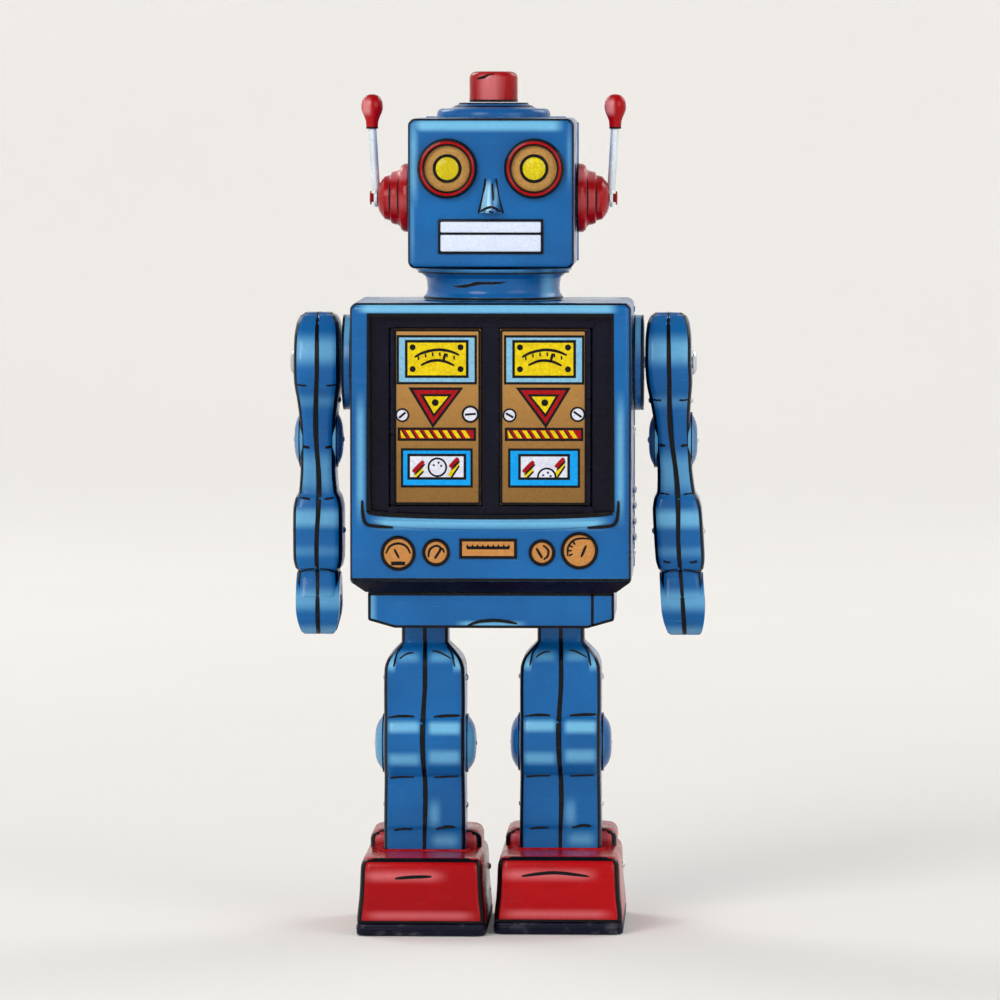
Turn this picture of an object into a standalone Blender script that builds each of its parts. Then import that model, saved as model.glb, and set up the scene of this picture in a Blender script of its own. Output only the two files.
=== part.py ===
"""Clockwork tin robot: pressed tin shells around a wind-up motor that lifts the legs in turn.

Sizes are in millimetres and MM turns them into metres as each mesh is made.
The robot stands on z = 0 and faces -Y. "left" is the -X side, as seen from the front.
Positions are given in the robot frame, whose x = y = 0 is the middle of the torso.
"""
import math

import bmesh
import bpy
from mathutils import Vector

MM = 0.001

# sheet, gaps and the point the robot frame sits on
WALL = 0.6
GAP = 0.3
ROBOT_X = -1.57
ROBOT_Y = -4.75

# torso, waist and hips
TORSO_HALF_WIDTH = 47.3
TORSO_HALF_DEPTH = 32.0
TORSO_BOTTOM = 118.8
TORSO_TOP = 212.5
TORSO_RADIUS = 2.5
RECESS_HALF_WIDTH = 41.0
RECESS_TOP = 208.4
RECESS_CORNER = 142.2
RECESS_SAG = 140.5
BAND_BOTTOM = 114.8
BAND_TOP = 118.5
HIPS_HALF_WIDTH = 41.5
HIPS_HALF_DEPTH = 25.0
HIPS_BOTTOM = 102.6
HIPS_TOP = 114.5

# chest bay and doors
BAY_Y = -29.75
DOOR_HINGE_X = 33.0
DOOR_HINGE_Y = -30.2
DOOR_BOTTOM = 144.4
DOOR_HEIGHT = 59.4
DOOR_WIDTH = 29.8

# head
HEAD_HALF_WIDTH = 28.0
HEAD_HALF_DEPTH = 27.0
HEAD_BOTTOM = 223.8
HEAD_TOP = 274.3
EYE_X = 14.6
EYE_Z = 257.5
EAR_Z = 247.2
EAR_FACE_X = 28.3
ANTENNA_X = 40.6

# legs
LEG_X = 23.0
CRANK_Z = 120.0
CRANK_THROW = 3.0
GUIDE_Z = 138.0
KNEE_Z = 61.4

# arms
ARM_X = 59.5
SHOULDER_Z = 191.3
ELBOW_Z = 165.0
HAND_Z = 109.0
ARM_LEAN = {"left": 0.0, "right": 0.062}

# motor
MODULE = 0.8
WINDING_Z = 144.0
GOVERNOR_X = 17.6
PLATE_HALF_WIDTH = 20.5
LEVER_X = -24.0
LEVER_Z = 130.0

BLUE = (0.014, 0.133, 0.356)
NAVY = (0.007, 0.007, 0.022)
RED = (0.330, 0.003, 0.005)
TAN = (0.434, 0.223, 0.058)
YELLOW = (0.800, 0.650, 0.015)
PALE = (0.650, 0.730, 0.880)
STEEL = (0.520, 0.540, 0.560)
BRASS = (0.620, 0.430, 0.140)

AXES = {}


# ---------------------------------------------------------------- meshes

def prism(outline, axis, start, end):
    """Solid made by pushing a flat outline along X, Y or Z."""
    bm = bmesh.new()
    ends = []
    for level in (start, end):
        ring = []
        for a, b in outline:
            point = {"X": (level, a, b), "Y": (a, level, b), "Z": (a, b, level)}[axis]
            ring.append(bm.verts.new(point))
        ends.append(ring)
    count = len(outline)
    for i in range(count):
        j = (i + 1) % count
        bm.faces.new((ends[0][i], ends[0][j], ends[1][j], ends[1][i]))
    bm.faces.new(ends[0])
    bm.faces.new(ends[1])
    return bm


def lathe(profile, axis, segments=20, ring=False):
    """Solid of revolution from (radius, height) points; ring=True closes the profile on itself."""
    bm = bmesh.new()
    loops = []
    for radius, height in profile:
        if radius == 0:
            point = {"X": (height, 0, 0), "Y": (0, height, 0), "Z": (0, 0, height)}[axis]
            loops.append([bm.verts.new(point)])
            continue
        loop = []
        for i in range(segments):
            turn = 2 * math.pi * i / segments
            a = radius * math.cos(turn)
            b = radius * math.sin(turn)
            point = {"X": (height, a, b), "Y": (a, height, b), "Z": (a, b, height)}[axis]
            loop.append(bm.verts.new(point))
        loops.append(loop)
    pairs = list(zip(loops, loops[1:]))
    if ring:
        pairs.append((loops[-1], loops[0]))
    for low, high in pairs:
        for i in range(segments):
            j = (i + 1) % segments
            if len(low) == 1:
                bm.faces.new((low[0], high[i], high[j]))
            elif len(high) == 1:
                bm.faces.new((low[i], low[j], high[0]))
            else:
                bm.faces.new((low[i], low[j], high[j], high[i]))
    return bm


def rod(radius, start, end, axis, segments=14):
    """Plain round bar along an axis through the origin."""
    return lathe([(0, start), (radius, start), (radius, end), (0, end)], axis, segments)


def rounded_box(low, high, radius=0.0, sharp=(), steps=2):
    """Box with rounded edges; edges on the sides named in sharp stay square."""
    bm = bmesh.new()
    bmesh.ops.create_cube(bm, size=1.0)
    for vert in bm.verts:
        for i in range(3):
            vert.co[i] = low[i] if vert.co[i] < 0 else high[i]
    if radius == 0:
        return bm
    bm.normal_update()
    names = ("X", "Y", "Z")
    chosen = []
    for edge in bm.edges:
        sides = set()
        for face in edge.link_faces:
            i = max(range(3), key=lambda k: abs(face.normal[k]))
            sides.add(("+" if face.normal[i] > 0 else "-") + names[i])
        if not sides & set(sharp):
            chosen.append(edge)
    bmesh.ops.bevel(bm, geom=chosen, offset=radius, offset_type="OFFSET", segments=steps,
                    profile=0.5, affect="EDGES", clamp_overlap=False)
    return bm


def stack(levels, side, seam, radius, steps=2):
    """Half of a pressed limb: D-shaped sections (z, width, front, back) joined from top to bottom."""
    bm = bmesh.new()
    loops = []
    for z, width, front, back in levels:
        points = [(seam, front)]
        for i in range(steps + 1):
            turn = 0.5 * math.pi * i / steps
            points.append((width - radius * (1 - math.sin(turn)), front + radius * (1 - math.cos(turn))))
        for i in range(steps + 1):
            turn = 0.5 * math.pi * i / steps
            points.append((width - radius * (1 - math.cos(turn)), back - radius * (1 - math.sin(turn))))
        points.append((seam, back))
        loops.append([bm.verts.new((side * x, y, z)) for x, y in points])
    for low, high in zip(loops, loops[1:]):
        for i in range(len(low)):
            j = (i + 1) % len(low)
            bm.faces.new((low[i], low[j], high[j], high[i]))
    bm.faces.new(loops[0])
    bm.faces.new(loops[-1])
    return bm


def shrink(levels, top_step, bottom_step):
    """The same sections one sheet thickness smaller, with the two end levels moved by a step."""
    inner = [[z, width - WALL, front + WALL, back - WALL] for z, width, front, back in levels]
    inner[0][0] += top_step
    inner[-1][0] += bottom_step
    return inner


def dome(radius, height, side, face, root):
    """Round pressed boss standing on a face at x = face and sunk into it by root."""
    profile = [(0, face + height), (0.6 * radius, face + 0.8 * height), (radius, face),
               (radius, face - root), (0, face - root)]
    return lathe([(r, side * x) for r, x in profile], "X", 16)


def gear_outline(teeth, phase=0.0):
    """Toothed wheel outline with one tooth centred on the phase angle."""
    step = 2 * math.pi / teeth
    root = MODULE * (0.5 * teeth - 1.0)
    tip = MODULE * (0.5 * teeth + 0.75)
    points = []
    for i in range(teeth):
        for radius, share in ((root, -0.22), (tip, -0.10), (tip, 0.10), (root, 0.22)):
            turn = phase + step * (i + share)
            points.append((radius * math.cos(turn), radius * math.sin(turn)))
    return points


def crown_gear(teeth, inner, outer, bore, tip_y, face_y, back_y):
    """Face gear about Y with radial teeth pointing to -Y and a tooth gap centred on +X."""
    bm = bmesh.new()
    step = 2 * math.pi / teeth

    def point(radius, turn, y):
        return bm.verts.new((radius * math.cos(turn), y, radius * math.sin(turn)))

    columns = []
    for i in range(teeth):
        middle = step * (i + 0.5)
        for share in (-0.24, 0.24):
            turn = middle + step * share
            columns.append({"bore_front": point(bore, turn, face_y), "bore_back": point(bore, turn, back_y),
                            "inner": point(inner, turn, face_y), "outer": point(outer, turn, face_y),
                            "rim_back": point(outer, turn, back_y)})
    for i, here in enumerate(columns):
        there = columns[(i + 1) % len(columns)]
        bm.faces.new((here["bore_back"], there["bore_back"], there["rim_back"], here["rim_back"]))
        bm.faces.new((here["bore_front"], there["bore_front"], there["bore_back"], here["bore_back"]))
        bm.faces.new((here["bore_front"], here["inner"], there["inner"], there["bore_front"]))
        bm.faces.new((here["outer"], here["rim_back"], there["rim_back"], there["outer"]))
        if i % 2:
            bm.faces.new((here["inner"], here["outer"], there["outer"], there["inner"]))
            continue
        middle = step * (i / 2 + 0.5)
        crest = [[point(radius, middle + step * share, tip_y) for radius in (inner, outer)]
                 for share in (-0.12, 0.12)]
        bm.faces.new((here["inner"], there["inner"], crest[1][0], crest[0][0]))
        bm.faces.new((here["outer"], there["outer"], crest[1][1], crest[0][1]))
        bm.faces.new((here["inner"], here["outer"], crest[0][1], crest[0][0]))
        bm.faces.new((there["inner"], there["outer"], crest[1][1], crest[1][0]))
        bm.faces.new((crest[0][0], crest[0][1], crest[1][1], crest[1][0]))
    return bm


def arc(cx, cy, radius, start, end, steps):
    """Points on an arc, angles in degrees."""
    points = []
    for i in range(steps + 1):
        turn = math.radians(start + (end - start) * i / steps)
        points.append((cx + radius * math.cos(turn), cy + radius * math.sin(turn)))
    return points


# ---------------------------------------------------------------- objects

def clear_scene():
    for item in list(bpy.data.objects):
        bpy.data.objects.remove(item, do_unlink=True)


def axis(name, at, parent=None):
    """Empty on a joint axis; everything that turns with it is parented to it."""
    empty = bpy.data.objects.new("axis_" + name, None)
    bpy.context.scene.collection.objects.link(empty)
    home = Vector(at)
    if parent is None:
        empty.location = Vector((ROBOT_X, ROBOT_Y, 0)) * MM
    else:
        empty.parent = AXES[parent][0]
        empty.location = (home - AXES[parent][1]) * MM
    AXES[name] = (empty, home)


def paint(name, colour, metallic, roughness):
    material = bpy.data.materials.new(name + "_finish")
    material.use_nodes = True
    shader = material.node_tree.nodes["Principled BSDF"]
    shader.inputs["Base Color"].default_value = (*colour, 1.0)
    shader.inputs["Metallic"].default_value = metallic
    shader.inputs["Roughness"].default_value = roughness
    return material


def new_object(name, bm, parent, location):
    bmesh.ops.recalc_face_normals(bm, faces=bm.faces)
    bmesh.ops.scale(bm, vec=(MM, MM, MM), verts=bm.verts)
    mesh = bpy.data.meshes.new(name)
    bm.to_mesh(mesh)
    bm.free()
    mesh.shade_smooth()
    mesh.set_sharp_from_angle(angle=math.radians(35))
    item = bpy.data.objects.new(name, mesh)
    bpy.context.scene.collection.objects.link(item)
    item.parent = parent
    item.location = location
    return item


def piece(name, bm, body, at, colour, metallic=0.0, roughness=0.35):
    """Visible part built round its own origin and placed at a point of the robot frame."""
    empty, home = AXES[body]
    item = new_object(name, bm, empty, (Vector(at) - home) * MM)
    item.data.materials.append(paint(name, colour, metallic, roughness))
    return item


def combine(item, bm, operation):
    """Boolean of a part with a hidden tool mesh drawn in the part's own frame."""
    label = {"DIFFERENCE": "cut", "UNION": "add", "INTERSECT": "keep"}[operation]
    tool = new_object(f"{item.name}_{label}_{len(item.modifiers)}", bm, item.parent, item.location)
    tool.hide_render = True
    tool.display_type = "WIRE"
    modifier = item.modifiers.new(tool.name, "BOOLEAN")
    modifier.operation = operation
    modifier.solver = "EXACT"
    modifier.object = tool


def cut(item, *tools):
    for bm in tools:
        combine(item, bm, "DIFFERENCE")


def join(item, *tools):
    for bm in tools:
        combine(item, bm, "UNION")


def shift(bm, x=0.0, y=0.0, z=0.0):
    bmesh.ops.translate(bm, vec=(x, y, z), verts=bm.verts)
    return bm


def lean(bm, slope):
    """Sets a hanging shape off to one side in proportion to its depth below its own origin."""
    for vert in bm.verts:
        vert.co.x += slope * max(0.0, -vert.co.z)
    return bm


# ---------------------------------------------------------------- torso and hips

def build_torso():
    width = TORSO_HALF_WIDTH
    depth = TORSO_HALF_DEPTH
    height = TORSO_TOP - TORSO_BOTTOM
    base = (0, 0, TORSO_BOTTOM)
    shell = piece("torso_shell", rounded_box((-width, -depth, 0), (width, depth - 3 * GAP, height),
                                             TORSO_RADIUS, ("+Y", "-Z")), "robot", base, BLUE)
    cut(shell, rounded_box((WALL - width, WALL - depth, -5), (width - WALL, depth + 5, height - WALL),
                           TORSO_RADIUS - WALL, ("+Y", "-Z")))
    sag = [(RECESS_HALF_WIDTH * math.cos(math.pi * i / 10),
            RECESS_CORNER - (RECESS_CORNER - RECESS_SAG) * math.sin(math.pi * i / 10) - TORSO_BOTTOM)
           for i in range(11)]
    top = RECESS_TOP - TORSO_BOTTOM
    opening = [(-RECESS_HALF_WIDTH, top), (RECESS_HALF_WIDTH, top)] + sag
    cut(shell, prism(opening, "Y", -depth - 2, 1 - depth))
    for side in (-1, 1):
        cut(shell, shift(rod(2.4, side * (width - 4), side * (width + 4), "X"), z=SHOULDER_Z - TORSO_BOTTOM))

    back = piece("torso_back", rounded_box((-width, depth - WALL, 0), (width, depth, height),
                                           TORSO_RADIUS, ("-Y", "+Y", "-Z")), "robot", base, BLUE)
    rim = width - WALL - GAP
    join(back, rounded_box((-rim, depth - 3.6, 0.9), (rim, depth - 0.3, height - WALL - GAP),
                           TORSO_RADIUS - WALL, ("-Y", "+Y", "-Z")))
    rim -= WALL
    cut(back, rounded_box((-rim, depth - 6, 1.5), (rim, depth - WALL, height - 2 * WALL - GAP),
                          TORSO_RADIUS - 2 * WALL, ("-Y", "+Y", "-Z")))
    cut(back, shift(rod(3.7, depth - 3, depth + 3, "Y"), z=WINDING_Z - TORSO_BOTTOM),
        shift(rod(1.9, depth - 3, depth + 3, "Y"), x=LEVER_X, z=LEVER_Z - TORSO_BOTTOM))

    inset = 5.0
    drop = BAND_BOTTOM - BAND_TOP
    band = bmesh.new()
    rings = []
    for z, x, y in ((drop, width - inset, depth - inset), (0, width - 0.3, depth - 0.3)):
        corners = ((x, y), (-x, y), (-x, -y), (x, -y))
        rings.append([band.verts.new((a, b, z)) for a, b in corners])
    for i in range(4):
        j = (i + 1) % 4
        band.faces.new((rings[0][i], rings[0][j], rings[1][j], rings[1][i]))
    band.faces.new(rings[0])
    band.faces.new(rings[1])
    waist = piece("waist_band", band, "robot", (0, 0, BAND_TOP), NAVY)
    cut(waist, rounded_box((-39, -25.5, -10), (39, 25.5, 10), 3.0, ("+Z", "-Z")))

    chamfer_x = HIPS_HALF_WIDTH - 9.0
    chamfer_z = 2.75
    tall = HIPS_TOP - HIPS_BOTTOM
    wide = HIPS_HALF_WIDTH
    outer = [(-wide, tall), (-wide, chamfer_z), (-chamfer_x, 0), (chamfer_x, 0), (wide, chamfer_z), (wide, tall)]
    wide -= WALL
    low = chamfer_z + 0.45
    inner = [(-wide, tall + 5), (-wide, low), (-chamfer_x, WALL), (chamfer_x, WALL), (wide, low), (wide, tall + 5)]
    hips = piece("hips", prism(outer, "Y", -HIPS_HALF_DEPTH, HIPS_HALF_DEPTH), "robot", (0, 0, HIPS_BOTTOM), BLUE)
    cut(hips, prism(inner, "Y", WALL - HIPS_HALF_DEPTH, HIPS_HALF_DEPTH - WALL))
    for side in (-1, 1):
        cut(hips, rounded_box((side * LEG_X - 9, -13, -5), (side * LEG_X + 9, 13, 5), 2.0, ("+Z", "-Z")))


def build_chest():
    bay = piece("chest_bay", rounded_box((-42, -1.35, 139.6), (42, 1.35, 209.3)), "robot", (0, BAY_Y, 0), NAVY)
    cut(bay, rounded_box((-41.3, -4, 140.2), (41.3, 0.75, 208.7)))
    join(bay, rounded_box((-36, 0.95, 142.6), (36, 14.75, 205.6)))
    cut(bay, rounded_box((-35.4, 1.35, 143.2), (35.4, 14.15, 205.0)))
    pin_y = DOOR_HINGE_Y - BAY_Y
    for side in (-1, 1):
        edges = sorted((side * 2.8, side * 34.3))
        cut(bay, rounded_box((edges[0], -1, 144.0), (edges[1], 2, 204.2)))
        for low, high in ((142.0, 143.9), (204.4, 206.4)):
            eye_x = side * DOOR_HINGE_X
            join(bay, rounded_box((eye_x - 1.5, -1.55, low), (eye_x + 1.5, 0.9, high)))
            cut(bay, shift(rod(0.75, low - 0.2, high + 0.2, "Z", 12), eye_x, pin_y))

    for side, label in ((-1, "left"), (1, "right")):
        edges = sorted((-side * DOOR_WIDTH, -side * 0.5))
        pin = [(0, -1.8), (0.5, -1.8), (0.5, 0), (0.9, 0), (0.9, DOOR_HEIGHT), (0.5, DOOR_HEIGHT),
               (0.5, DOOR_HEIGHT + 1.8), (0, DOOR_HEIGHT + 1.8)]
        name = "door_" + label
        door = piece(name, lathe(pin, "Z", 12), name,
                     (side * DOOR_HINGE_X, DOOR_HINGE_Y, DOOR_BOTTOM), TAN)
        join(door, rounded_box((edges[0], 0.2, 0.1), (edges[1], 1.4, DOOR_HEIGHT - 0.1)))


# ---------------------------------------------------------------- head

def build_head():
    width = HEAD_HALF_WIDTH
    depth = HEAD_HALF_DEPTH
    height = HEAD_TOP - HEAD_BOTTOM
    base = (0, 0, HEAD_BOTTOM)
    shell = piece("head_shell", rounded_box((-width, -depth, 0), (width, depth - 3 * GAP, height),
                                            2.5, ("+Y",)), "robot", base, BLUE)
    cut(shell, rounded_box((WALL - width, WALL - depth, WALL), (width - WALL, depth + 5, height - WALL),
                           1.9, ("+Y",)))
    nose = bmesh.new()
    low_z = 242.4 - HEAD_BOTTOM
    high_z = 254.6 - HEAD_BOTTOM
    corners = []
    for z, half, reach in ((low_z, 4.0, 4.0), (high_z, 1.5, 0.5)):
        corners.append([nose.verts.new((x, y, z)) for x, y in
                        ((-half, -depth - reach), (half, -depth - reach), (half, 0.3 - depth), (-half, 0.3 - depth))])
    for i in range(4):
        j = (i + 1) % 4
        nose.faces.new((corners[0][i], corners[0][j], corners[1][j], corners[1][i]))
    nose.faces.new(corners[0])
    nose.faces.new(corners[1])
    join(shell, nose)

    back = piece("head_back", rounded_box((-width, depth - WALL, 0), (width, depth, height),
                                          2.5, ("+Y", "-Y")), "robot", base, BLUE)
    rim = WALL + GAP
    join(back, rounded_box((rim - width, depth - 3.2, rim), (width - rim, depth - 0.3, height - rim),
                           1.6, ("+Y", "-Y")))
    rim += WALL
    cut(back, rounded_box((rim - width, depth - 6, rim), (width - rim, depth - WALL, height - rim),
                          1.0, ("+Y", "-Y")))

    collar = [(0, 4.8), (11.5, 4.8), (14.6, 3.2), (18.6, 2.9), (19.3, 2.1), (19.3, 0), (18.7, 0),
              (18.7, 1.9), (18.3, 2.3), (14.3, 2.6), (11.2, 4.2), (0, 4.2)]
    piece("head_collar", lathe(collar, "Z", 24), "robot", (0, 0, HEAD_TOP + GAP), BLUE)
    lamp = [(0, 10.4), (6.9, 10.4), (7.9, 9.9), (8.2, 8.9), (8.2, 0), (7.4, 0), (7.4, 9.0), (6.7, 9.6), (0, 9.6)]
    piece("head_lamp", lathe(lamp, "Z", 20), "robot", (0, 0, 279.7), RED)

    face_y = -depth - GAP
    bezel = [(7.9, 0), (10.0, 0), (10.0, -1.5), (9.2, -2.5), (8.5, -2.5), (7.9, -1.7)]
    lens = [(0, 0), (7.6, 0), (7.6, -0.9), (4.4, -1.2), (4.0, -1.8), (0, -2.2)]
    for side, label in ((-1, "left"), (1, "right")):
        eye = (side * EYE_X, face_y, EYE_Z)
        piece("eye_bezel_" + label, lathe(bezel, "Y", 20, True), "robot", eye, RED)
        piece("eye_lens_" + label, lathe(lens, "Y", 20), "robot", eye, YELLOW)
    mouth = piece("mouth_plate", rounded_box((-17.7, -0.8, 0), (17.7, 0, 11.7), 0.4, ("+Y",), 1),
                  "robot", (0, face_y, 228.8), PALE)
    cut(mouth, rounded_box((-19, -2, 6.6), (19, -0.4, 7.2)))

    neck = [(21.6, 10.7), (26.6, 10.7), (26.2, 9.8), (24.5, 8.8), (22.7, 7.3), (22.4, 3.2), (22.6, 2.0),
            (23.6, 1.4), (23.6, 0), (21.6, 0)]
    piece("neck", lathe(neck, "Z", 24, True), "robot", (0, 0, TORSO_TOP + GAP), BLUE)

    ear = [(11.9, 0), (11.6, 2.6), (9.9, 3.4), (8.6, 5.3), (8.1, 7.2), (6.7, 9.3), (4.9, 10.9), (1.5, 10.9),
           (1.5, 13.2), (2.4, 13.2), (2.4, 13.8), (0, 13.8)]
    hollow = [(0, 10.1), (4.4, 10.1), (6.6, 7.9), (7.9, 4.9), (10.6, 2.2), (11.2, 0)]
    for side, label in ((-1, "left"), (1, "right")):
        profile = [(radius, side * height) for radius, height in hollow + ear]
        piece("ear_" + label, lathe(profile, "X", 18), "robot", (side * EAR_FACE_X, 0, EAR_Z), RED)
        body = "antenna_" + label
        splay = side * 0.7
        eyelet = [(1.8, -0.6), (3.2, -0.6), (3.2, 0.6), (1.8, 0.6)]
        stem = piece("antenna_rod_" + label, lathe(eyelet, "X", 16, True), body,
                     (side * ANTENNA_X, 0, EAR_Z), STEEL, 1.0, 0.25)
        wire = rod(1.2, 2.4, 25.3, "Z", 8)
        for vert in wire.verts:
            vert.co.x += splay * (vert.co.z - 2.4) / 23.0
        join(stem, wire)
        tip = [(0, 3.0), (1.5, 3.0), (1.5, 0), (2.0, 0), (2.3, 2.4), (3.0, 4.6), (3.7, 7.6), (3.4, 9.6),
               (2.2, 11.2), (0, 11.8)]
        piece("antenna_tip_" + label, lathe(tip, "Z", 14), body, (side * ANTENNA_X + splay, 0, 270.6), RED)


# ---------------------------------------------------------------- legs and feet

LEG_LEVELS = [
    (107.5, 8.0, -8.0, 8.0),
    (96.5, 8.0, -8.0, 8.0),
    (92.8, 11.9, -11.6, 11.6),
    (88.6, 13.6, -13.0, 13.0),
    (76.0, 13.8, -12.9, 13.0),
    (68.0, 13.7, -14.2, 12.6),
    (61.4, 13.7, -14.8, 12.4),
    (55.0, 13.7, -13.9, 12.0),
    (47.0, 13.7, -11.8, 11.8),
    (22.0, 13.8, -11.6, 11.6),
]


def build_leg(side, label):
    body = "leg_" + label
    base = (side * LEG_X, side * CRANK_THROW, 0)
    for name, facing in (("outer", side), ("inner", -side)):
        half = piece(f"leg_{name}_{label}", stack(LEG_LEVELS, facing, 0.15, 2.4), body, base, BLUE)
        cut(half, stack(shrink(LEG_LEVELS, 5, -5), facing, -2.0, 1.8))
        join(half, shift(dome(9.8, 3.4, facing, 13.7, 0.4), z=KNEE_Z))
        cut(half, shift(dome(9.1, 2.8, facing, 13.7, 1.2), z=KNEE_Z))

    strip = [(-5, 92), (5, 92), (5, 128)] + arc(0, GUIDE_Z, 6.8, -25, 205, 14) + [(-5, 128)]
    hanger = piece("leg_hanger_" + label, prism(strip, "X", -0.6, 0.6), body, base, STEEL, 1.0, 0.35)
    join(hanger, rounded_box((-7.0, -4.4, 97.0), (7.0, 4.4, 98.2)))
    cut(hanger, shift(rod(1.9, -3, 3, "X", 12), z=CRANK_Z), shift(rod(4.7, -3, 3, "X", 20), z=GUIDE_Z))

    shell = piece("foot_shell_" + label, rounded_box((-21, -38, 4.3), (21, 28, 26), 3.5, ("-Z",)),
                  body, base, RED)
    join(shell, rounded_box((-19, -2, 15), (19, 27.5, 32), 4.0, ("-Z",)))
    cut(shell, rounded_box((-20.4, -37.4, 0), (20.4, 27.4, 25.4), 2.9, ("-Z",)),
        rounded_box((-18.4, -1.4, 12), (18.4, 26.9, 31.4), 3.4, ("-Z",)),
        rounded_box((-14.2, -12.1, 14), (14.2, 12.1, 40), 2.2, ("-Z", "+Z")))
    piece("foot_sole_" + label, rounded_box((-21.8, -39, 0), (21.8, 29, 4.0), 3.5, ("-Z", "+Z")),
          body, base, NAVY)


# ---------------------------------------------------------------- arms

ARM_LEVELS = [
    (208.4, 5.4, -4.6, 4.6),
    (206.0, 7.0, -9.0, 9.0),
    (200.2, 7.75, -14.3, 14.3),
    (191.3, 7.75, -16.9, 16.9),
    (184.3, 7.6, -15.4, 15.4),
    (178.0, 6.9, -12.2, 12.2),
    (171.0, 6.1, -10.6, 10.6),
    (160.0, 5.9, -10.0, 10.0),
    (146.6, 6.6, -9.8, 9.8),
    (145.2, 8.1, -11.2, 11.2),
    (124.0, 8.2, -11.4, 11.4),
    (121.2, 7.4, -9.6, 9.6),
    (117.5, 7.3, -8.6, 8.6),
    (111.0, 7.5, -10.9, 10.9),
    (103.5, 7.4, -10.2, 10.2),
    (97.6, 6.0, -6.8, 6.8),
]
ARM_CAVITY_END = 11


def build_arm(side, label):
    body = "arm_" + label
    base = (side * ARM_X, 0, SHOULDER_Z)
    levels = [(z - SHOULDER_Z, width, front, back) for z, width, front, back in ARM_LEVELS]
    hand = HAND_Z - SHOULDER_Z
    slope = ARM_LEAN[label]
    for name, facing in (("outer", side), ("inner", -side)):
        half = piece(f"arm_{name}_{label}", lean(stack(levels, facing, 0.15, 2.2), slope), body, base, BLUE)
        cut(half, lean(stack(shrink(levels[:ARM_CAVITY_END], -WALL, 0.6), facing, -2.0, 1.6), slope))
        claw = arc(0, hand, 10.0, -60, 240, 10) + arc(0, hand, 6.2, 240, -60, 10)
        cut(half, lean(prism(claw, "X", -facing * 2.0, facing * 6.4), slope))
        cut(half, shift(rod(5.5, -20, 20, "X", 16), z=hand), rounded_box((-20, -3.6, hand - 15), (20, 3.6, hand)))
        join(half, lean(shift(dome(9.6, 2.4, facing, 5.9, 0.35), z=ELBOW_Z - SHOULDER_Z), slope))
        cut(half, rod(2.3, -9, 9, "X"))

    inner_face = 51.2 - ARM_X
    disc = [(16.2, 47.6 - 51.2), (16.2, -1.0), (15.2, 0), (2.4, 0), (2.4, -0.6), (14.9, -0.6), (15.6, -1.3),
            (15.6, 47.6 - 51.2)]
    piece("shoulder_disc_" + label, lathe([(r, side * x) for r, x in disc], "X", 24, True), "robot",
          (side * (ARM_X + inner_face), 0, SHOULDER_Z), BLUE)
    axle = [(0, 43.0), (4.0, 43.0), (4.0, 44.4), (2.0, 44.4), (2.0, 67.7), (4.2, 67.7), (3.9, 68.6),
            (2.2, 69.2), (0, 69.2)]
    piece("shoulder_axle_" + label, lathe([(r, side * (x - ARM_X)) for r, x in axle], "X", 14), body,
          base, STEEL, 1.0, 0.3)


# ---------------------------------------------------------------- motor

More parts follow.
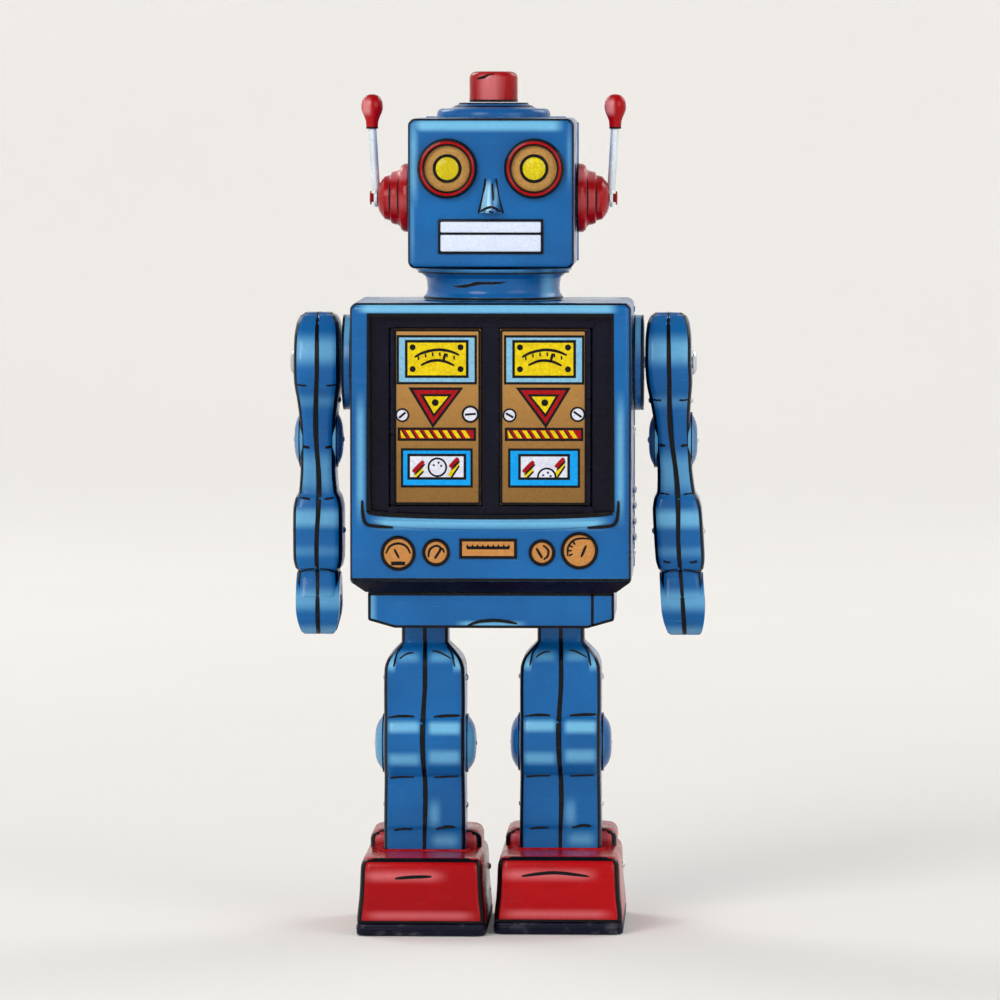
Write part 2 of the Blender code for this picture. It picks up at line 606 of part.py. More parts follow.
def build_motor():
    half = PLATE_HALF_WIDTH
    front = piece("motor_front_plate", rounded_box((-half, 0, 111.5), (half, 1, 168)), "robot",
                  (0, 9, 0), STEEL, 1.0, 0.35)
    for side in (-1, 1):
        edges = sorted((side * 18.9, side * 20.1))
        join(front, rounded_box((edges[0], -15, 111.5), (edges[1], 0.5, 143.0)))
    cut(front, shift(rod(2.1, -25, 25, "X"), y=-9, z=CRANK_Z), shift(rod(1.5, -25, 25, "X"), y=-9, z=GUIDE_Z))
    cut(front, shift(rod(2.3, -3, 3, "Y"), z=WINDING_Z), shift(rod(1.8, -3, 3, "Y"), z=CRANK_Z),
        shift(rod(1.3, -0.5, 3, "Y", 16), x=GOVERNOR_X, z=CRANK_Z))

    back = piece("motor_back_plate", rounded_box((-half, 0, 115.2), (half, 1, 168)), "robot",
                 (0, 24, 0), STEEL, 1.0, 0.35)
    cut(back, shift(rod(2.3, -3, 3, "Y"), z=WINDING_Z), shift(rod(1.8, -3, 3, "Y"), z=CRANK_Z),
        shift(rod(1.3, -3, 3, "Y", 16), x=GOVERNOR_X, z=CRANK_Z))
    for label, x, z in (("a", -17.0, 164.0), ("b", 17.0, 164.0), ("c", -18.4, 124.5)):
        piece("motor_pillar_" + label, rod(1.6, 0, 20.8, "Y", 16), "robot", (x, 10.3, z), STEEL, 1.0, 0.3)
        cut(back, shift(rod(1.9, -3, 3, "Y", 16), x=x, z=z))

    guide = [(0, -26.6), (2.0, -26.6), (2.0, -25.4), (1.2, -25.4), (1.2, 25.4), (2.0, 25.4), (2.0, 26.6), (0, 26.6)]
    piece("guide_rod", lathe(guide, "X", 16), "robot", (0, 0, GUIDE_Z), STEEL, 1.0, 0.3)

    shaft = [(0, -21.9), (5.5, -21.9), (5.5, -20.5), (1.8, -20.5), (1.8, 20.5), (5.5, 20.5), (5.5, 21.9), (0, 21.9)]
    crank = piece("crankshaft", lathe(shaft, "X", 16), "crank", (0, 0, CRANK_Z), STEEL, 1.0, 0.3)
    join(crank, prism(gear_outline(12), "X", 12.4, 15.4))
    for side in (-1, 1):
        pin = [(0, 21.5), (1.6, 21.5), (1.6, 24.2), (2.4, 24.2), (2.4, 25.4), (0, 25.4)]
        join(crank, shift(lathe([(r, side * x) for r, x in pin], "X", 12), y=side * CRANK_THROW))

    arbor = piece("second_arbor", rod(1.5, 4.6, 25.4, "Y"), "second_arbor", (0, 0, CRANK_Z), STEEL, 1.0, 0.3)
    join(arbor, prism(gear_outline(12, 0.5 * math.pi + math.pi / 12), "Y", 14.0, 17.2))
    wheel = piece("second_wheel", prism(gear_outline(36), "Y", 11.5, 12.7), "second_arbor",
                  (0, 0, CRANK_Z), BRASS, 1.0, 0.3)
    cut(wheel, rod(1.8, 10, 14, "Y"))
    piece("crown_wheel", crown_gear(35, 12.2, 15.4, 1.8, 4.3, 6.1, 7.3), "second_arbor",
          (0, 0, CRANK_Z), BRASS, 1.0, 0.3)

    great = piece("great_wheel", prism(gear_outline(48, -0.5 * math.pi), "Y", 15.0, 16.2), "great_wheel",
                  (0, 0, WINDING_Z), BRASS, 1.0, 0.3)
    cut(great, rod(2.3, 14, 18, "Y"))
    finger = arc(9.2, 3.0, 1.7, -20, 150, 6) + arc(5.9, -3.6, 0.4, 150, 340, 4)
    piece("click", prism(finger, "Y", 13.2, 14.7), "great_wheel", (0, 0, WINDING_Z), STEEL, 1.0, 0.3)

    piece("winding_arbor", rod(2.0, 8.4, 44.0, "Y"), "winder", (0, 0, WINDING_Z), STEEL, 1.0, 0.3)
    saw = []
    for i in range(10):
        turn = 0.2 * math.pi * i
        saw.append((4.6 * math.cos(turn), 4.6 * math.sin(turn)))
        saw.append((6.0 * math.cos(turn + 0.03), 6.0 * math.sin(turn + 0.03)))
    ratchet = piece("ratchet_wheel", prism(saw, "Y", 13.2, 14.4), "winder", (0, 0, WINDING_Z), BRASS, 1.0, 0.3)
    cut(ratchet, rod(2.3, 12, 16, "Y"))
    key = piece("winding_key", rod(3.3, 33.2, 46.0, "Y"), "winder", (0, 0, WINDING_Z), STEEL, 1.0, 0.25)
    bow = arc(-8.2, 45.5, 6.0, 60, 300, 14) + arc(8.2, 45.5, 6.0, -120, 120, 14)
    join(key, prism(bow, "Z", -0.8, 0.8))
    for side in (-1, 1):
        cut(key, shift(rod(3.4, -3, 3, "Z", 14), x=side * 8.6, y=45.5))
    cut(key, rod(2.3, 30, 44.4, "Y"))

    spring = []
    turns = 4.1
    steps = 56
    for i in range(steps + 1):
        share = i / steps
        radius = 3.2 + 12.6 * share + max(0.0, share - 0.95) / 0.05 * 7.6
        turn = math.radians(52) - 2 * math.pi * turns * (1 - share)
        spring.append((radius * math.cos(turn), radius * math.sin(turn)))
    strip = []
    for offset, path in ((-0.35, spring), (0.35, spring[::-1])):
        for x, z in path:
            radius = math.hypot(x, z)
            strip.append((x * (radius + offset) / radius, z * (radius + offset) / radius))
    piece("mainspring", prism(strip, "Y", 17.5, 22.5), "robot", (0, 0, WINDING_Z), STEEL, 1.0, 0.4)

    flywheel = [(0, 9.3), (1.1, 9.3), (1.1, 19.0), (5.5, 19.0), (5.5, 22.0), (1.1, 22.0), (1.1, 25.3), (0, 25.3)]
    governor = piece("governor", lathe(flywheel, "Y", 14), "governor", (GOVERNOR_X, 0, CRANK_Z), BRASS, 1.0, 0.3)
    join(governor, prism(gear_outline(8, math.pi / 8), "Y", 11.0, 13.2))

    lever = [(0, 29.0), (3.0, 29.0), (3.0, 30.2), (1.5, 30.2), (1.5, 32.4), (3.6, 32.4), (3.6, 33.8), (0, 33.8)]
    stop = piece("stop_lever", lathe(lever, "Y", 14), "stop_lever", (LEVER_X, 0, LEVER_Z), STEEL, 1.0, 0.3)
    join(stop, rounded_box((-13.5, 32.5, -2.0), (0, 33.7, 2.0), 1.4, ("+Y", "-Y")))


# ---------------------------------------------------------------- assembly

def build_axes():
    axis("robot", (0, 0, 0))
    axis("crank", (0, 0, CRANK_Z), "robot")
    axis("second_arbor", (0, 0, CRANK_Z), "robot")
    axis("great_wheel", (0, 0, WINDING_Z), "robot")
    axis("winder", (0, 0, WINDING_Z), "great_wheel")
    axis("governor", (GOVERNOR_X, 0, CRANK_Z), "robot")
    axis("stop_lever", (LEVER_X, 0, LEVER_Z), "robot")
    for side, label in ((-1, "left"), (1, "right")):
        axis("leg_" + label, (side * LEG_X, side * CRANK_THROW, CRANK_Z), "crank")
        axis("arm_" + label, (side * ARM_X, 0, SHOULDER_Z), "robot")
        axis("door_" + label, (side * DOOR_HINGE_X, DOOR_HINGE_Y, DOOR_BOTTOM), "robot")
        axis("antenna_" + label, (side * ANTENNA_X, 0, EAR_Z), "robot")


clear_scene()
build_axes()
build_torso()
build_chest()
build_head()
for limb_side, limb_label in ((-1, "left"), (1, "right")):
    build_leg(limb_side, limb_label)
    build_arm(limb_side, limb_label)
build_motor()
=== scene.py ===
import math

import bmesh
import bpy
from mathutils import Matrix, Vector


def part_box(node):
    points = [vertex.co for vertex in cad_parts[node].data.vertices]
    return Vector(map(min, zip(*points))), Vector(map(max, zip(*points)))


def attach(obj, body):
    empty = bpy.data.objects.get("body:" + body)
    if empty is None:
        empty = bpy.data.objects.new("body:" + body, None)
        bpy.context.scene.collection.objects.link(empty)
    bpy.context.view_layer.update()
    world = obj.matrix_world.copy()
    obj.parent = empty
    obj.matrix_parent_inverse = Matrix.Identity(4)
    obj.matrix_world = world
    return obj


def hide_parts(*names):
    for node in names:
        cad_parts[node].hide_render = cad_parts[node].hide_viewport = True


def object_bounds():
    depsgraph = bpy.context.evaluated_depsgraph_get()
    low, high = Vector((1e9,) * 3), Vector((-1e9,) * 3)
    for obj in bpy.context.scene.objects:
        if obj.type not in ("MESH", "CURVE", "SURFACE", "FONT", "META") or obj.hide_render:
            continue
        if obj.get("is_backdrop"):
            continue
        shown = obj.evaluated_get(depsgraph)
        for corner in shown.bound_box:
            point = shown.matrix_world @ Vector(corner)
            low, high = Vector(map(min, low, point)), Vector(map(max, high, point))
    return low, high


# Looks of the clockwork tin robot: pressed and printed tin, moulded plastic and plated steel.
# Sizes are in millimetres in the robot frame: x = y = 0 is the middle of the torso, z = 0 the floor.
# The robot faces -Y and "left" is the -X side. Each piece is built in place and rides on its CAD body.

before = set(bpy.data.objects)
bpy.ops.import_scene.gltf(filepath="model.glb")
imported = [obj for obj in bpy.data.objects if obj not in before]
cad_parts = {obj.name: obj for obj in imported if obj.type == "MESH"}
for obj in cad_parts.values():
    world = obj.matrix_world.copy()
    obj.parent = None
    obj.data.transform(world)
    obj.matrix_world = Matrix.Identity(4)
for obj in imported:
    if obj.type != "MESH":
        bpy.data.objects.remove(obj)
CAD_LOW, CAD_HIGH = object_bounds()
MM = 0.001
SIDES = ((-1, "left"), (1, "right"))


def middle():
    """Origin of the robot frame: on the shoulder axles, half way between them, at floor height."""
    left_low, left_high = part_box("shoulder_disc_left")
    _, right_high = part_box("shoulder_disc_right")
    return Vector(((left_low.x + right_high.x) / 2, (left_low.y + left_high.y) / 2, 0))


CENTRE = middle()


def box(node):
    """Lowest and highest corner of a CAD node, in millimetres of the robot frame."""
    low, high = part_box(node)
    return (low - CENTRE) / MM, (high - CENTRE) / MM


def centre_of(node):
    """Middle of a CAD node's box, in millimetres of the robot frame."""
    low, high = box(node)
    return (low + high) / 2


def srgb(red, green, blue):
    """Linear colour of a screen colour given as 0 to 255."""
    return tuple(((c / 255 + 0.055) / 1.055) ** 2.4 if c > 10 else c / 255 / 12.92
                 for c in (red, green, blue))


BLUE = srgb(12, 96, 162)
# Pale blue: painted highlights, and the colour of worn edges and scratches.
BLUE_LIGHT = srgb(118, 190, 226)
BLUE_DEEP = srgb(10, 84, 146)
NAVY = srgb(12, 12, 34)
INK = srgb(9, 9, 14)
RED = srgb(170, 0, 10)
# Pale red: painted highlights on the feet, and the colour of worn edges and scratches.
RED_LIGHT = srgb(205, 104, 110)
RED_DEEP = srgb(148, 0, 9)
# Painted highlight colour of the red plastic lamp and ears.
RED_SHINE = srgb(214, 128, 132)
TAN_TOP = srgb(178, 130, 68)
TAN_LOW = srgb(124, 90, 44)
DIAL = srgb(200, 140, 74)
GAUGE_BLUE = srgb(138, 190, 218)
WINDOW_BLUE = srgb(2, 160, 236)
YELLOW = srgb(232, 208, 4)
WHITE = srgb(224, 226, 238)
MOUTH = srgb(216, 225, 243)
STEEL = (0.62, 0.64, 0.67)
BRASS = (0.66, 0.46, 0.16)


# ---------------------------------------------------------------- materials

def blank(name, roughness, metallic=0.0, coat=0.0, specular=0.14):
    """New material with its node tree, its Principled shader and the object coordinates."""
    material = bpy.data.materials.new(name)
    material.use_nodes = True
    tree = material.node_tree
    shader = tree.nodes["Principled BSDF"]
    shader.inputs["Roughness"].default_value = roughness
    shader.inputs["Metallic"].default_value = metallic
    shader.inputs["Coat Weight"].default_value = coat
    shader.inputs["Coat Roughness"].default_value = 0.06
    shader.inputs["Specular IOR Level"].default_value = specular
    place = tree.nodes.new("ShaderNodeTexCoord").outputs["Object"]
    return material, tree, shader, place


def feed(tree, socket, value):
    if isinstance(value, bpy.types.NodeSocket):
        tree.links.new(value, socket)
    elif isinstance(value, tuple) and len(value) == 3 and len(socket.default_value) == 4:
        socket.default_value = (*value, 1.0)
    else:
        socket.default_value = value


def noise(tree, place, scale, detail=2.0, stretch=(1, 1, 1)):
    """Noise from 0 to 1; scale is in cells for each metre, stretch slows it along an axis."""
    mapping = tree.nodes.new("ShaderNodeMapping")
    mapping.inputs["Scale"].default_value = stretch
    tree.links.new(place, mapping.inputs["Vector"])
    node = tree.nodes.new("ShaderNodeTexNoise")
    node.inputs["Scale"].default_value = scale
    node.inputs["Detail"].default_value = detail
    tree.links.new(mapping.outputs["Vector"], node.inputs["Vector"])
    return node.outputs["Fac"]


def ramp(tree, value, start, end, low=0.0, high=1.0):
    """Eased step from low to high while value goes from start to end."""
    node = tree.nodes.new("ShaderNodeMapRange")
    node.interpolation_type = "SMOOTHSTEP"
    for label, number in (("From Min", start), ("From Max", end), ("To Min", low), ("To Max", high)):
        node.inputs[label].default_value = number
    tree.links.new(value, node.inputs["Value"])
    return node.outputs["Result"]


def calculate(tree, operation, first, second):
    node = tree.nodes.new("ShaderNodeMath")
    node.operation = operation
    feed(tree, node.inputs[0], first)
    feed(tree, node.inputs[1], second)
    return node.outputs[0]


def blend(tree, factor, first, second):
    """Colour between two colours."""
    node = tree.nodes.new("ShaderNodeMix")
    node.data_type = "RGBA"
    feed(tree, node.inputs["Factor"], factor)
    feed(tree, node.inputs["A"], first)
    feed(tree, node.inputs["B"], second)
    return node.outputs["Result"]


def bump(tree, shader, layers):
    """Layers of (height, depth in millimetres) pressed into the surface one after the other."""
    normal = None
    for height, depth in layers:
        node = tree.nodes.new("ShaderNodeBump")
        node.inputs["Strength"].default_value = 1.0
        node.inputs["Distance"].default_value = depth * MM
        tree.links.new(height, node.inputs["Height"])
        if normal:
            tree.links.new(normal, node.inputs["Normal"])
        normal = node.outputs["Normal"]
    tree.links.new(normal, shader.inputs["Normal"])


def window(tree, place, spans):
    """Soft patch of a painted highlight: spans maps an axis to (low, high, softness) in robot millimetres."""
    split = tree.nodes.new("ShaderNodeSeparateXYZ")
    tree.links.new(place, split.inputs["Vector"])
    patch = None
    for name, (low, high, soft) in spans.items():
        value = split.outputs[name]
        shift = {"X": CENTRE.x, "Y": CENTRE.y, "Z": 0.0}[name]
        for edge, sign in ((low, 1), (high, -1)):
            start = (edge - sign * soft) * MM + shift
            end = (edge + sign * soft) * MM + shift
            step = ramp(tree, value, start, end)
            patch = step if patch is None else calculate(tree, "MULTIPLY", patch, step)
    return patch


def glow(tree, place, painted_highlights, grain):
    """All painted highlights of a piece together, each (spans, strength), broken up a little by grain."""
    total = 0.0
    for spans, strength in painted_highlights:
        one = calculate(tree, "MULTIPLY", window(tree, place, spans), strength)
        total = calculate(tree, "MAXIMUM", one, total)
    return calculate(tree, "MULTIPLY", total, ramp(tree, grain, 0.1, 0.9, 0.86, 1.0))


def edge_rub(tree, grain, radius=0.5):
    """Thin worn lines along edges, where a rounded normal leaves the true one, broken by grain."""
    soft = tree.nodes.new("ShaderNodeBevel")
    soft.samples = 4
    soft.inputs["Radius"].default_value = radius * MM
    true = tree.nodes.new("ShaderNodeNewGeometry")
    dot = tree.nodes.new("ShaderNodeVectorMath")
    dot.operation = "DOT_PRODUCT"
    tree.links.new(soft.outputs["Normal"], dot.inputs[0])
    tree.links.new(true.outputs["Normal"], dot.inputs[1])
    edge = ramp(tree, dot.outputs["Value"], 0.97, 0.80)
    return calculate(tree, "MULTIPLY", edge, ramp(tree, grain, 0.45, 0.62))


def blue_enamel(name, painted_highlights=(), light=BLUE_LIGHT):
    return enamel(name, BLUE, BLUE_DEEP, light, painted_highlights)


def enamel(name, colour, deep, light, painted_highlights=(), coat=0.18, specular=0.14):
    """Stoved enamel on thin tin: cloudy colour, painted highlights, orange peel, slow dents, fine scratches."""
    material, tree, shader, place = blank(name, 0.22, 0.0, coat, specular)
    cloudy = noise(tree, place, 28, 3)
    grain = noise(tree, place, 700, 3)
    base = blend(tree, ramp(tree, cloudy, 0.35, 0.70), deep, colour)
    # Painted highlights: inside the given patches the colour is lifted towards the pale colour.
    if painted_highlights:
        base = blend(tree, glow(tree, place, painted_highlights, grain), base, light)
    rub = edge_rub(tree, noise(tree, place, 260, 4))
    base = blend(tree, calculate(tree, "MULTIPLY", rub, 0.35), base, light)
    scratch = ramp(tree, noise(tree, place, 90, 2, (1, 1, 14)), 0.70, 0.76)
    base = blend(tree, calculate(tree, "MULTIPLY", scratch, 0.10), base, light)
    tree.links.new(base, shader.inputs["Base Color"])
    smear = noise(tree, place, 60, 4, (1, 1, 2))
    tree.links.new(ramp(tree, smear, 0.30, 0.72, 0.17, 0.34), shader.inputs["Roughness"])
    bump(tree, shader, ((noise(tree, place, 45, 1), 0.35), (noise(tree, place, 1500, 1), 0.012),
                        (scratch, 0.01)))
    return material


def printed(name, colour, deep, low=None, high=None):
    """Printing ink under varnish: screened grain, and a fade from deep to colour between two heights."""
    material, tree, shader, place = blank(name, 0.3, coat=0.06)
    grain = noise(tree, place, 1300, 3)
    patchy = noise(tree, place, 160, 3)
    mixed = calculate(tree, "MULTIPLY", ramp(tree, grain, 0.25, 0.75),
                      ramp(tree, patchy, 0.2, 0.8, 0.55, 1.0))
    if low is None:
        base = blend(tree, mixed, deep, colour)
    else:
        split = tree.nodes.new("ShaderNodeSeparateXYZ")
        tree.links.new(place, split.inputs["Vector"])
        rise = ramp(tree, split.outputs["Z"], low * MM, high * MM)
        base = blend(tree, calculate(tree, "ADD", calculate(tree, "MULTIPLY", rise, 0.75),
                                     calculate(tree, "MULTIPLY", mixed, 0.25)), deep, colour)
    tree.links.new(base, shader.inputs["Base Color"])
    tree.links.new(ramp(tree, patchy, 0.3, 0.7, 0.24, 0.40), shader.inputs["Roughness"])
    bump(tree, shader, ((grain, 0.010), (noise(tree, place, 60, 1), 0.15)))
    return material


def plastic(name, colour, deep, light, painted_highlights=(), pebble=None):
    """Glossy moulded plastic with faint flow marks and any painted highlights, or with a pebbled face."""
    material, tree, shader, place = blank(name, 0.2, coat=0.12)
    flow = noise(tree, place, 80, 3, (1, 1, 0.4))
    fine = noise(tree, place, 2200, 2)
    base = blend(tree, ramp(tree, flow, 0.3, 0.7), deep, colour)
    # Painted highlights: inside the given patches the colour is lifted towards the pale colour.
    if painted_highlights:
        base = blend(tree, glow(tree, place, painted_highlights, fine), base, light)
    layers = [(flow, 0.12), (fine, 0.006)]
    if pebble:
        cells = tree.nodes.new("ShaderNodeTexVoronoi")
        cells.inputs["Scale"].default_value = pebble
        tree.links.new(place, cells.inputs["Vector"])
        base = blend(tree, ramp(tree, cells.outputs["Distance"], 0.15, 0.75, 0.0, 0.8), base, deep)
        layers.append((cells.outputs["Distance"], 0.12))
    tree.links.new(base, shader.inputs["Base Color"])
    tree.links.new(ramp(tree, noise(tree, place, 120, 3), 0.3, 0.7, 0.14, 0.28), shader.inputs["Roughness"])
    bump(tree, shader, layers)
    return material


def rubbery(name, colour):
    """Dull moulded sole with scuffs."""
    material, tree, shader, place = blank(name, 0.55)
    scuff = ramp(tree, noise(tree, place, 240, 5), 0.50, 0.72)
    grey = tuple(c + 0.05 for c in colour)
    tree.links.new(blend(tree, scuff, colour, grey), shader.inputs["Base Color"])
    tree.links.new(ramp(tree, scuff, 0.0, 1.0, 0.42, 0.70), shader.inputs["Roughness"])
    bump(tree, shader, ((noise(tree, place, 1800, 2), 0.03), (scuff, 0.02)))
    return material


def metal(name, colour, shadow, brushed=(1, 1, 12), metallic=1.0):
    """Plated or rolled metal with rolling lines, smears and dull patches."""
    material, tree, shader, place = blank(name, 0.25, metallic, specular=0.5)
    lines = noise(tree, place, 500, 3, brushed)
    smear = noise(tree, place, 110, 4)
    base = blend(tree, ramp(tree, smear, 0.35, 0.72), colour, shadow)
    tree.links.new(base, shader.inputs["Base Color"])
    rough = calculate(tree, "ADD", ramp(tree, smear, 0.3, 0.7, 0.16, 0.34),
                      ramp(tree, lines, 0.3, 0.7, 0.0, 0.10))
    tree.links.new(rough, shader.inputs["Roughness"])
    bump(tree, shader, ((lines, 0.012), (smear, 0.03)))
    return material


FINISH = {}


def make_materials():
    """Materials that several pieces share; pieces with painted highlights make their own."""
    FINISH["blue"] = blue_enamel("blue_enamel_plain")
    # The domes' front-facing half is lighter: a painted highlight.
    FINISH["dome"] = blue_enamel("dome_enamel", [({"Y": (-30, -7.5, 2.5)}, 0.55)])
    FINISH["navy"] = enamel("navy_enamel_plain", NAVY, srgb(8, 8, 24), srgb(46, 48, 84), (), 0.04, 0.12)
    FINISH["red"] = enamel("red_enamel_plain", RED, RED_DEEP, RED_LIGHT)
    FINISH["ink"] = printed("black_ink", INK, srgb(3, 3, 6))
    FINISH["tan"] = printed("tan_ink", TAN_TOP, TAN_LOW, 148, 200)
    FINISH["dial"] = printed("dial_ink", DIAL, srgb(176, 118, 62))
    FINISH["gauge"] = printed("gauge_blue_ink", GAUGE_BLUE, srgb(112, 166, 198))
    FINISH["window"] = printed("window_blue_ink", WINDOW_BLUE, srgb(0, 140, 214))
    FINISH["yellow"] = printed("yellow_ink", YELLOW, srgb(198, 172, 0))
    FINISH["white"] = printed("white_ink", WHITE, srgb(196, 198, 214))
    FINISH["red_ink"] = printed("red_ink", srgb(170, 4, 14), srgb(140, 0, 10))
    FINISH["mouth"] = printed("mouth_enamel", MOUTH, srgb(196, 208, 232))
    FINISH["eye_tan"] = printed("eye_tan", srgb(190, 146, 80), srgb(160, 116, 58))
    FINISH["red_plastic"] = plastic("red_plastic", RED, RED_DEEP, RED_LIGHT)
    FINISH["lens"] = plastic("yellow_lens", srgb(234, 220, 22), srgb(188, 170, 10), WHITE, pebble=900)
    FINISH["sole"] = rubbery("sole_rubber", NAVY)
    FINISH["steel"] = metal("plated_steel", STEEL, (0.44, 0.46, 0.49))
    FINISH["rod"] = metal("bright_wire", (0.72, 0.80, 0.86), (0.60, 0.67, 0.74), (4, 4, 1), 0.35)
    FINISH["brass"] = metal("stamped_brass", BRASS, (0.45, 0.29, 0.10), (1, 6, 1))
    FINISH["tin"] = metal("bare_tin", (0.58, 0.58, 0.56), (0.40, 0.40, 0.38), (1, 1, 6))


# ---------------------------------------------------------------- meshes

def place_on(axis, level, a, b):
    return {"X": (level, a, b), "Y": (a, level, b), "Z": (a, b, level)}[axis]


def prism(outline, axis, start, end, soften=0.0):
    """Solid made by pushing a flat outline along an axis, with its rims rounded by soften."""
    bm = bmesh.new()
    ends = []
    for level in (start, end):
        ends.append([bm.verts.new(place_on(axis, level, a, b)) for a, b in outline])
    count = len(outline)
    for i in range(count):
        j = (i + 1) % count
        bm.faces.new((ends[0][i], ends[0][j], ends[1][j], ends[1][i]))
    caps = [bm.faces.new(ends[0]), bm.faces.new(ends[1])]
    if soften:
        rims = [edge for cap in caps for edge in cap.edges]
        bmesh.ops.bevel(bm, geom=rims, offset=soften, offset_type="OFFSET", segments=3, profile=0.5,
                        affect="EDGES", clamp_overlap=True)
    return bm


def lathe(profile, axis, at=(0, 0, 0), segments=64, ring=False):
    """Solid of revolution about an axis through a point, from (radius, height) points."""
    bm = bmesh.new()
    loops = []
    for radius, height in profile:
        count = 1 if radius == 0 else segments
        loop = []
        for i in range(count):
            turn = 2 * math.pi * i / segments
            spot = place_on(axis, height, radius * math.cos(turn), radius * math.sin(turn))
            loop.append(bm.verts.new(Vector(spot) + Vector(at)))
        loops.append(loop)
    pairs = list(zip(loops, loops[1:]))
    if ring:
        pairs.append((loops[-1], loops[0]))
    for low, high in pairs:
        for i in range(segments):
            j = (i + 1) % segments
            if len(low) == 1:
                bm.faces.new((low[0], high[i], high[j]))
            elif len(high) == 1:
                bm.faces.new((low[i], low[j], high[0]))
            else:
                bm.faces.new((low[i], low[j], high[j], high[i]))
    return bm


def rounded_box(low, high, radius, sharp=(), steps=6):
    """Box with rounded edges; edges on the sides named in sharp stay square."""
    bm = bmesh.new()
    bmesh.ops.create_cube(bm, size=1.0)
    for vert in bm.verts:
        for i in range(3):
            vert.co[i] = low[i] if vert.co[i] < 0 else high[i]
    bm.normal_update()
    chosen = []
    for edge in bm.edges:
        sides = set()
        for face in edge.link_faces:
            i = max(range(3), key=lambda k: abs(face.normal[k]))
            sides.add(("+" if face.normal[i] > 0 else "-") + "XYZ"[i])
        if not sides & set(sharp):
            chosen.append(edge)
    bmesh.ops.bevel(bm, geom=chosen, offset=radius, offset_type="OFFSET", segments=steps, profile=0.5,
                    affect="EDGES", clamp_overlap=False)
    return bm


def loft(rings):
    """Closed skin through rings of equally many points, with flat ends."""
    bm = bmesh.new()
    loops = [[bm.verts.new(point) for point in ring] for ring in rings]
    for low, high in zip(loops, loops[1:]):
        for i in range(len(low)):
            j = (i + 1) % len(low)
            bm.faces.new((low[i], low[j], high[j], high[i]))
    bm.faces.new(loops[0])
    bm.faces.new(loops[-1])
    return bm


def rectangle_ring(half_x, front, back, radius, z, steps=6):
    """Rounded rectangle at one height, from the middle of the robot frame."""
    points = []
    for cx, cy, start in ((half_x - radius, back - radius, 0), (radius - half_x, back - radius, 90),
                          (radius - half_x, front + radius, 180), (half_x - radius, front + radius, 270)):
        points += [(x, y, z) for x, y in arc(cx, cy, radius, start, start + 90, steps)]
    return points


def arc(cx, cy, radius, start, end, steps):
    """Points on an arc, angles in degrees."""
    points = []
    for i in range(steps + 1):
        turn = math.radians(start + (end - start) * i / steps)
        points.append((cx + radius * math.cos(turn), cy + radius * math.sin(turn)))
    return points


def curve(points, steps=8):
    """Smooth line through the given points, each a tuple of two or three numbers."""
    ends = [points[0]] + list(points) + [points[-1]]
    line = []
    for a, b, c, d in zip(ends, ends[1:], ends[2:], ends[3:]):
        for k in range(steps):
            t = k / steps
            line.append(tuple(0.5 * (2 * q + (r - p) * t + (2 * p - 5 * q + 4 * r - s) * t * t
                                     + (3 * q - p - 3 * r + s) * t ** 3) for p, q, r, s in zip(a, b, c, d)))
    line.append(tuple(points[-1]))
    return line


FLAT = ((-1, 0), (-1, 1), (1, 1), (1, 0))
ROUND = ((-1, 0), (-0.92, 0.38), (-0.70, 0.72), (-0.38, 0.93), (0, 1), (0.38, 0.93), (0.70, 0.72), (0.92, 0.38),
         (1, 0))


def ribbon(points, normals, width, lift=0.08, root=0.25, taper=0.0, section=FLAT):
    """Line laid on a surface: flat like ink or round like a pressed bead; taper thins its ends."""
    rings = []
    last = len(points) - 1
    for i, (point, normal) in enumerate(zip(points, normals)):
        ahead = Vector(points[min(i + 1, last)]) - Vector(points[max(i - 1, 0)])
        up = Vector(normal).normalized()
        across = ahead.cross(up).normalized()
        share = 1 - taper * (abs(2 * i / last - 1) ** 3)
        half = 0.5 * width * share
        rise = lift * (share if section is ROUND else 1)
        ring = [Vector(point) + across * half * a + up * rise * b for a, b in section]
        ring.append(Vector(point) + across * half - up * root)
        ring.append(Vector(point) - across * half - up * root)
        rings.append(ring)
    return loft(rings)


def front_line(points, depth, width=1.1, **style):
    """Line on a front face; points are (x, z) and depth is its y, or a function of x and z."""
    spots = [(x, depth(x, z) if callable(depth) else depth, z) for x, z in points]
    return ribbon(spots, [(0, -1, 0)] * len(spots), width, **style)


def ink_line(points, depth, width=1.1, **style):
    return front_line(points, depth, width, **style), "ink"


def bead(points, normal, width, lift, finish, taper=0.0):
    """Pressed round bead along points that all face one way."""
    return ribbon(points, [normal] * len(points), width, lift, 0.3, taper, ROUND), finish


def hoop(axis, at, radius, width, tilt=(1, 0), steps=72, turns=(0, 360), finish="ink", **style):
    """Line round an axis through a point; tilt is the way it faces, as (away from, along) the axis."""
    spots = []
    normals = []
    for i in range(steps + 1):
        turn = math.radians(turns[0] + (turns[1] - turns[0]) * i / steps)
        a = math.cos(turn)
        b = math.sin(turn)
        spots.append(Vector(at) + Vector(place_on(axis, 0, radius * a, radius * b)))
        normals.append(place_on(axis, tilt[1], tilt[0] * a, tilt[0] * b))
    return ribbon(spots, normals, width, **style), finish


def scaled(profile, across, along, start=0.0):
    """Profile that is given in shares of a radius and of a length."""
    return [(across * radius, start + along * level) for radius, level in profile]


def bore(axis, at, radius, reach, steps):
    """Round tool that cuts a hole along an axis, reach to each side of a point."""
    level = at["XYZ".index(axis)]
    at = [0 if name == axis else value for name, value in zip("XYZ", at)]
    return lathe([(0, level - reach), (radius, level - reach), (radius, level + reach), (0, level + reach)],
                 axis, at, steps)


def plate(outline, face, lift=0.08, root=0.25):
    """Flat printed patch standing just proud of a front face."""
    return prism(outline, "Y", face - lift, face + root)


def rectangle(x0, x1, z0, z1):
    return [(x0, z0), (x1, z0), (x1, z1), (x0, z1)]


def disc(x, z, radius):
    return arc(x, z, radius, 0, 352, 44)


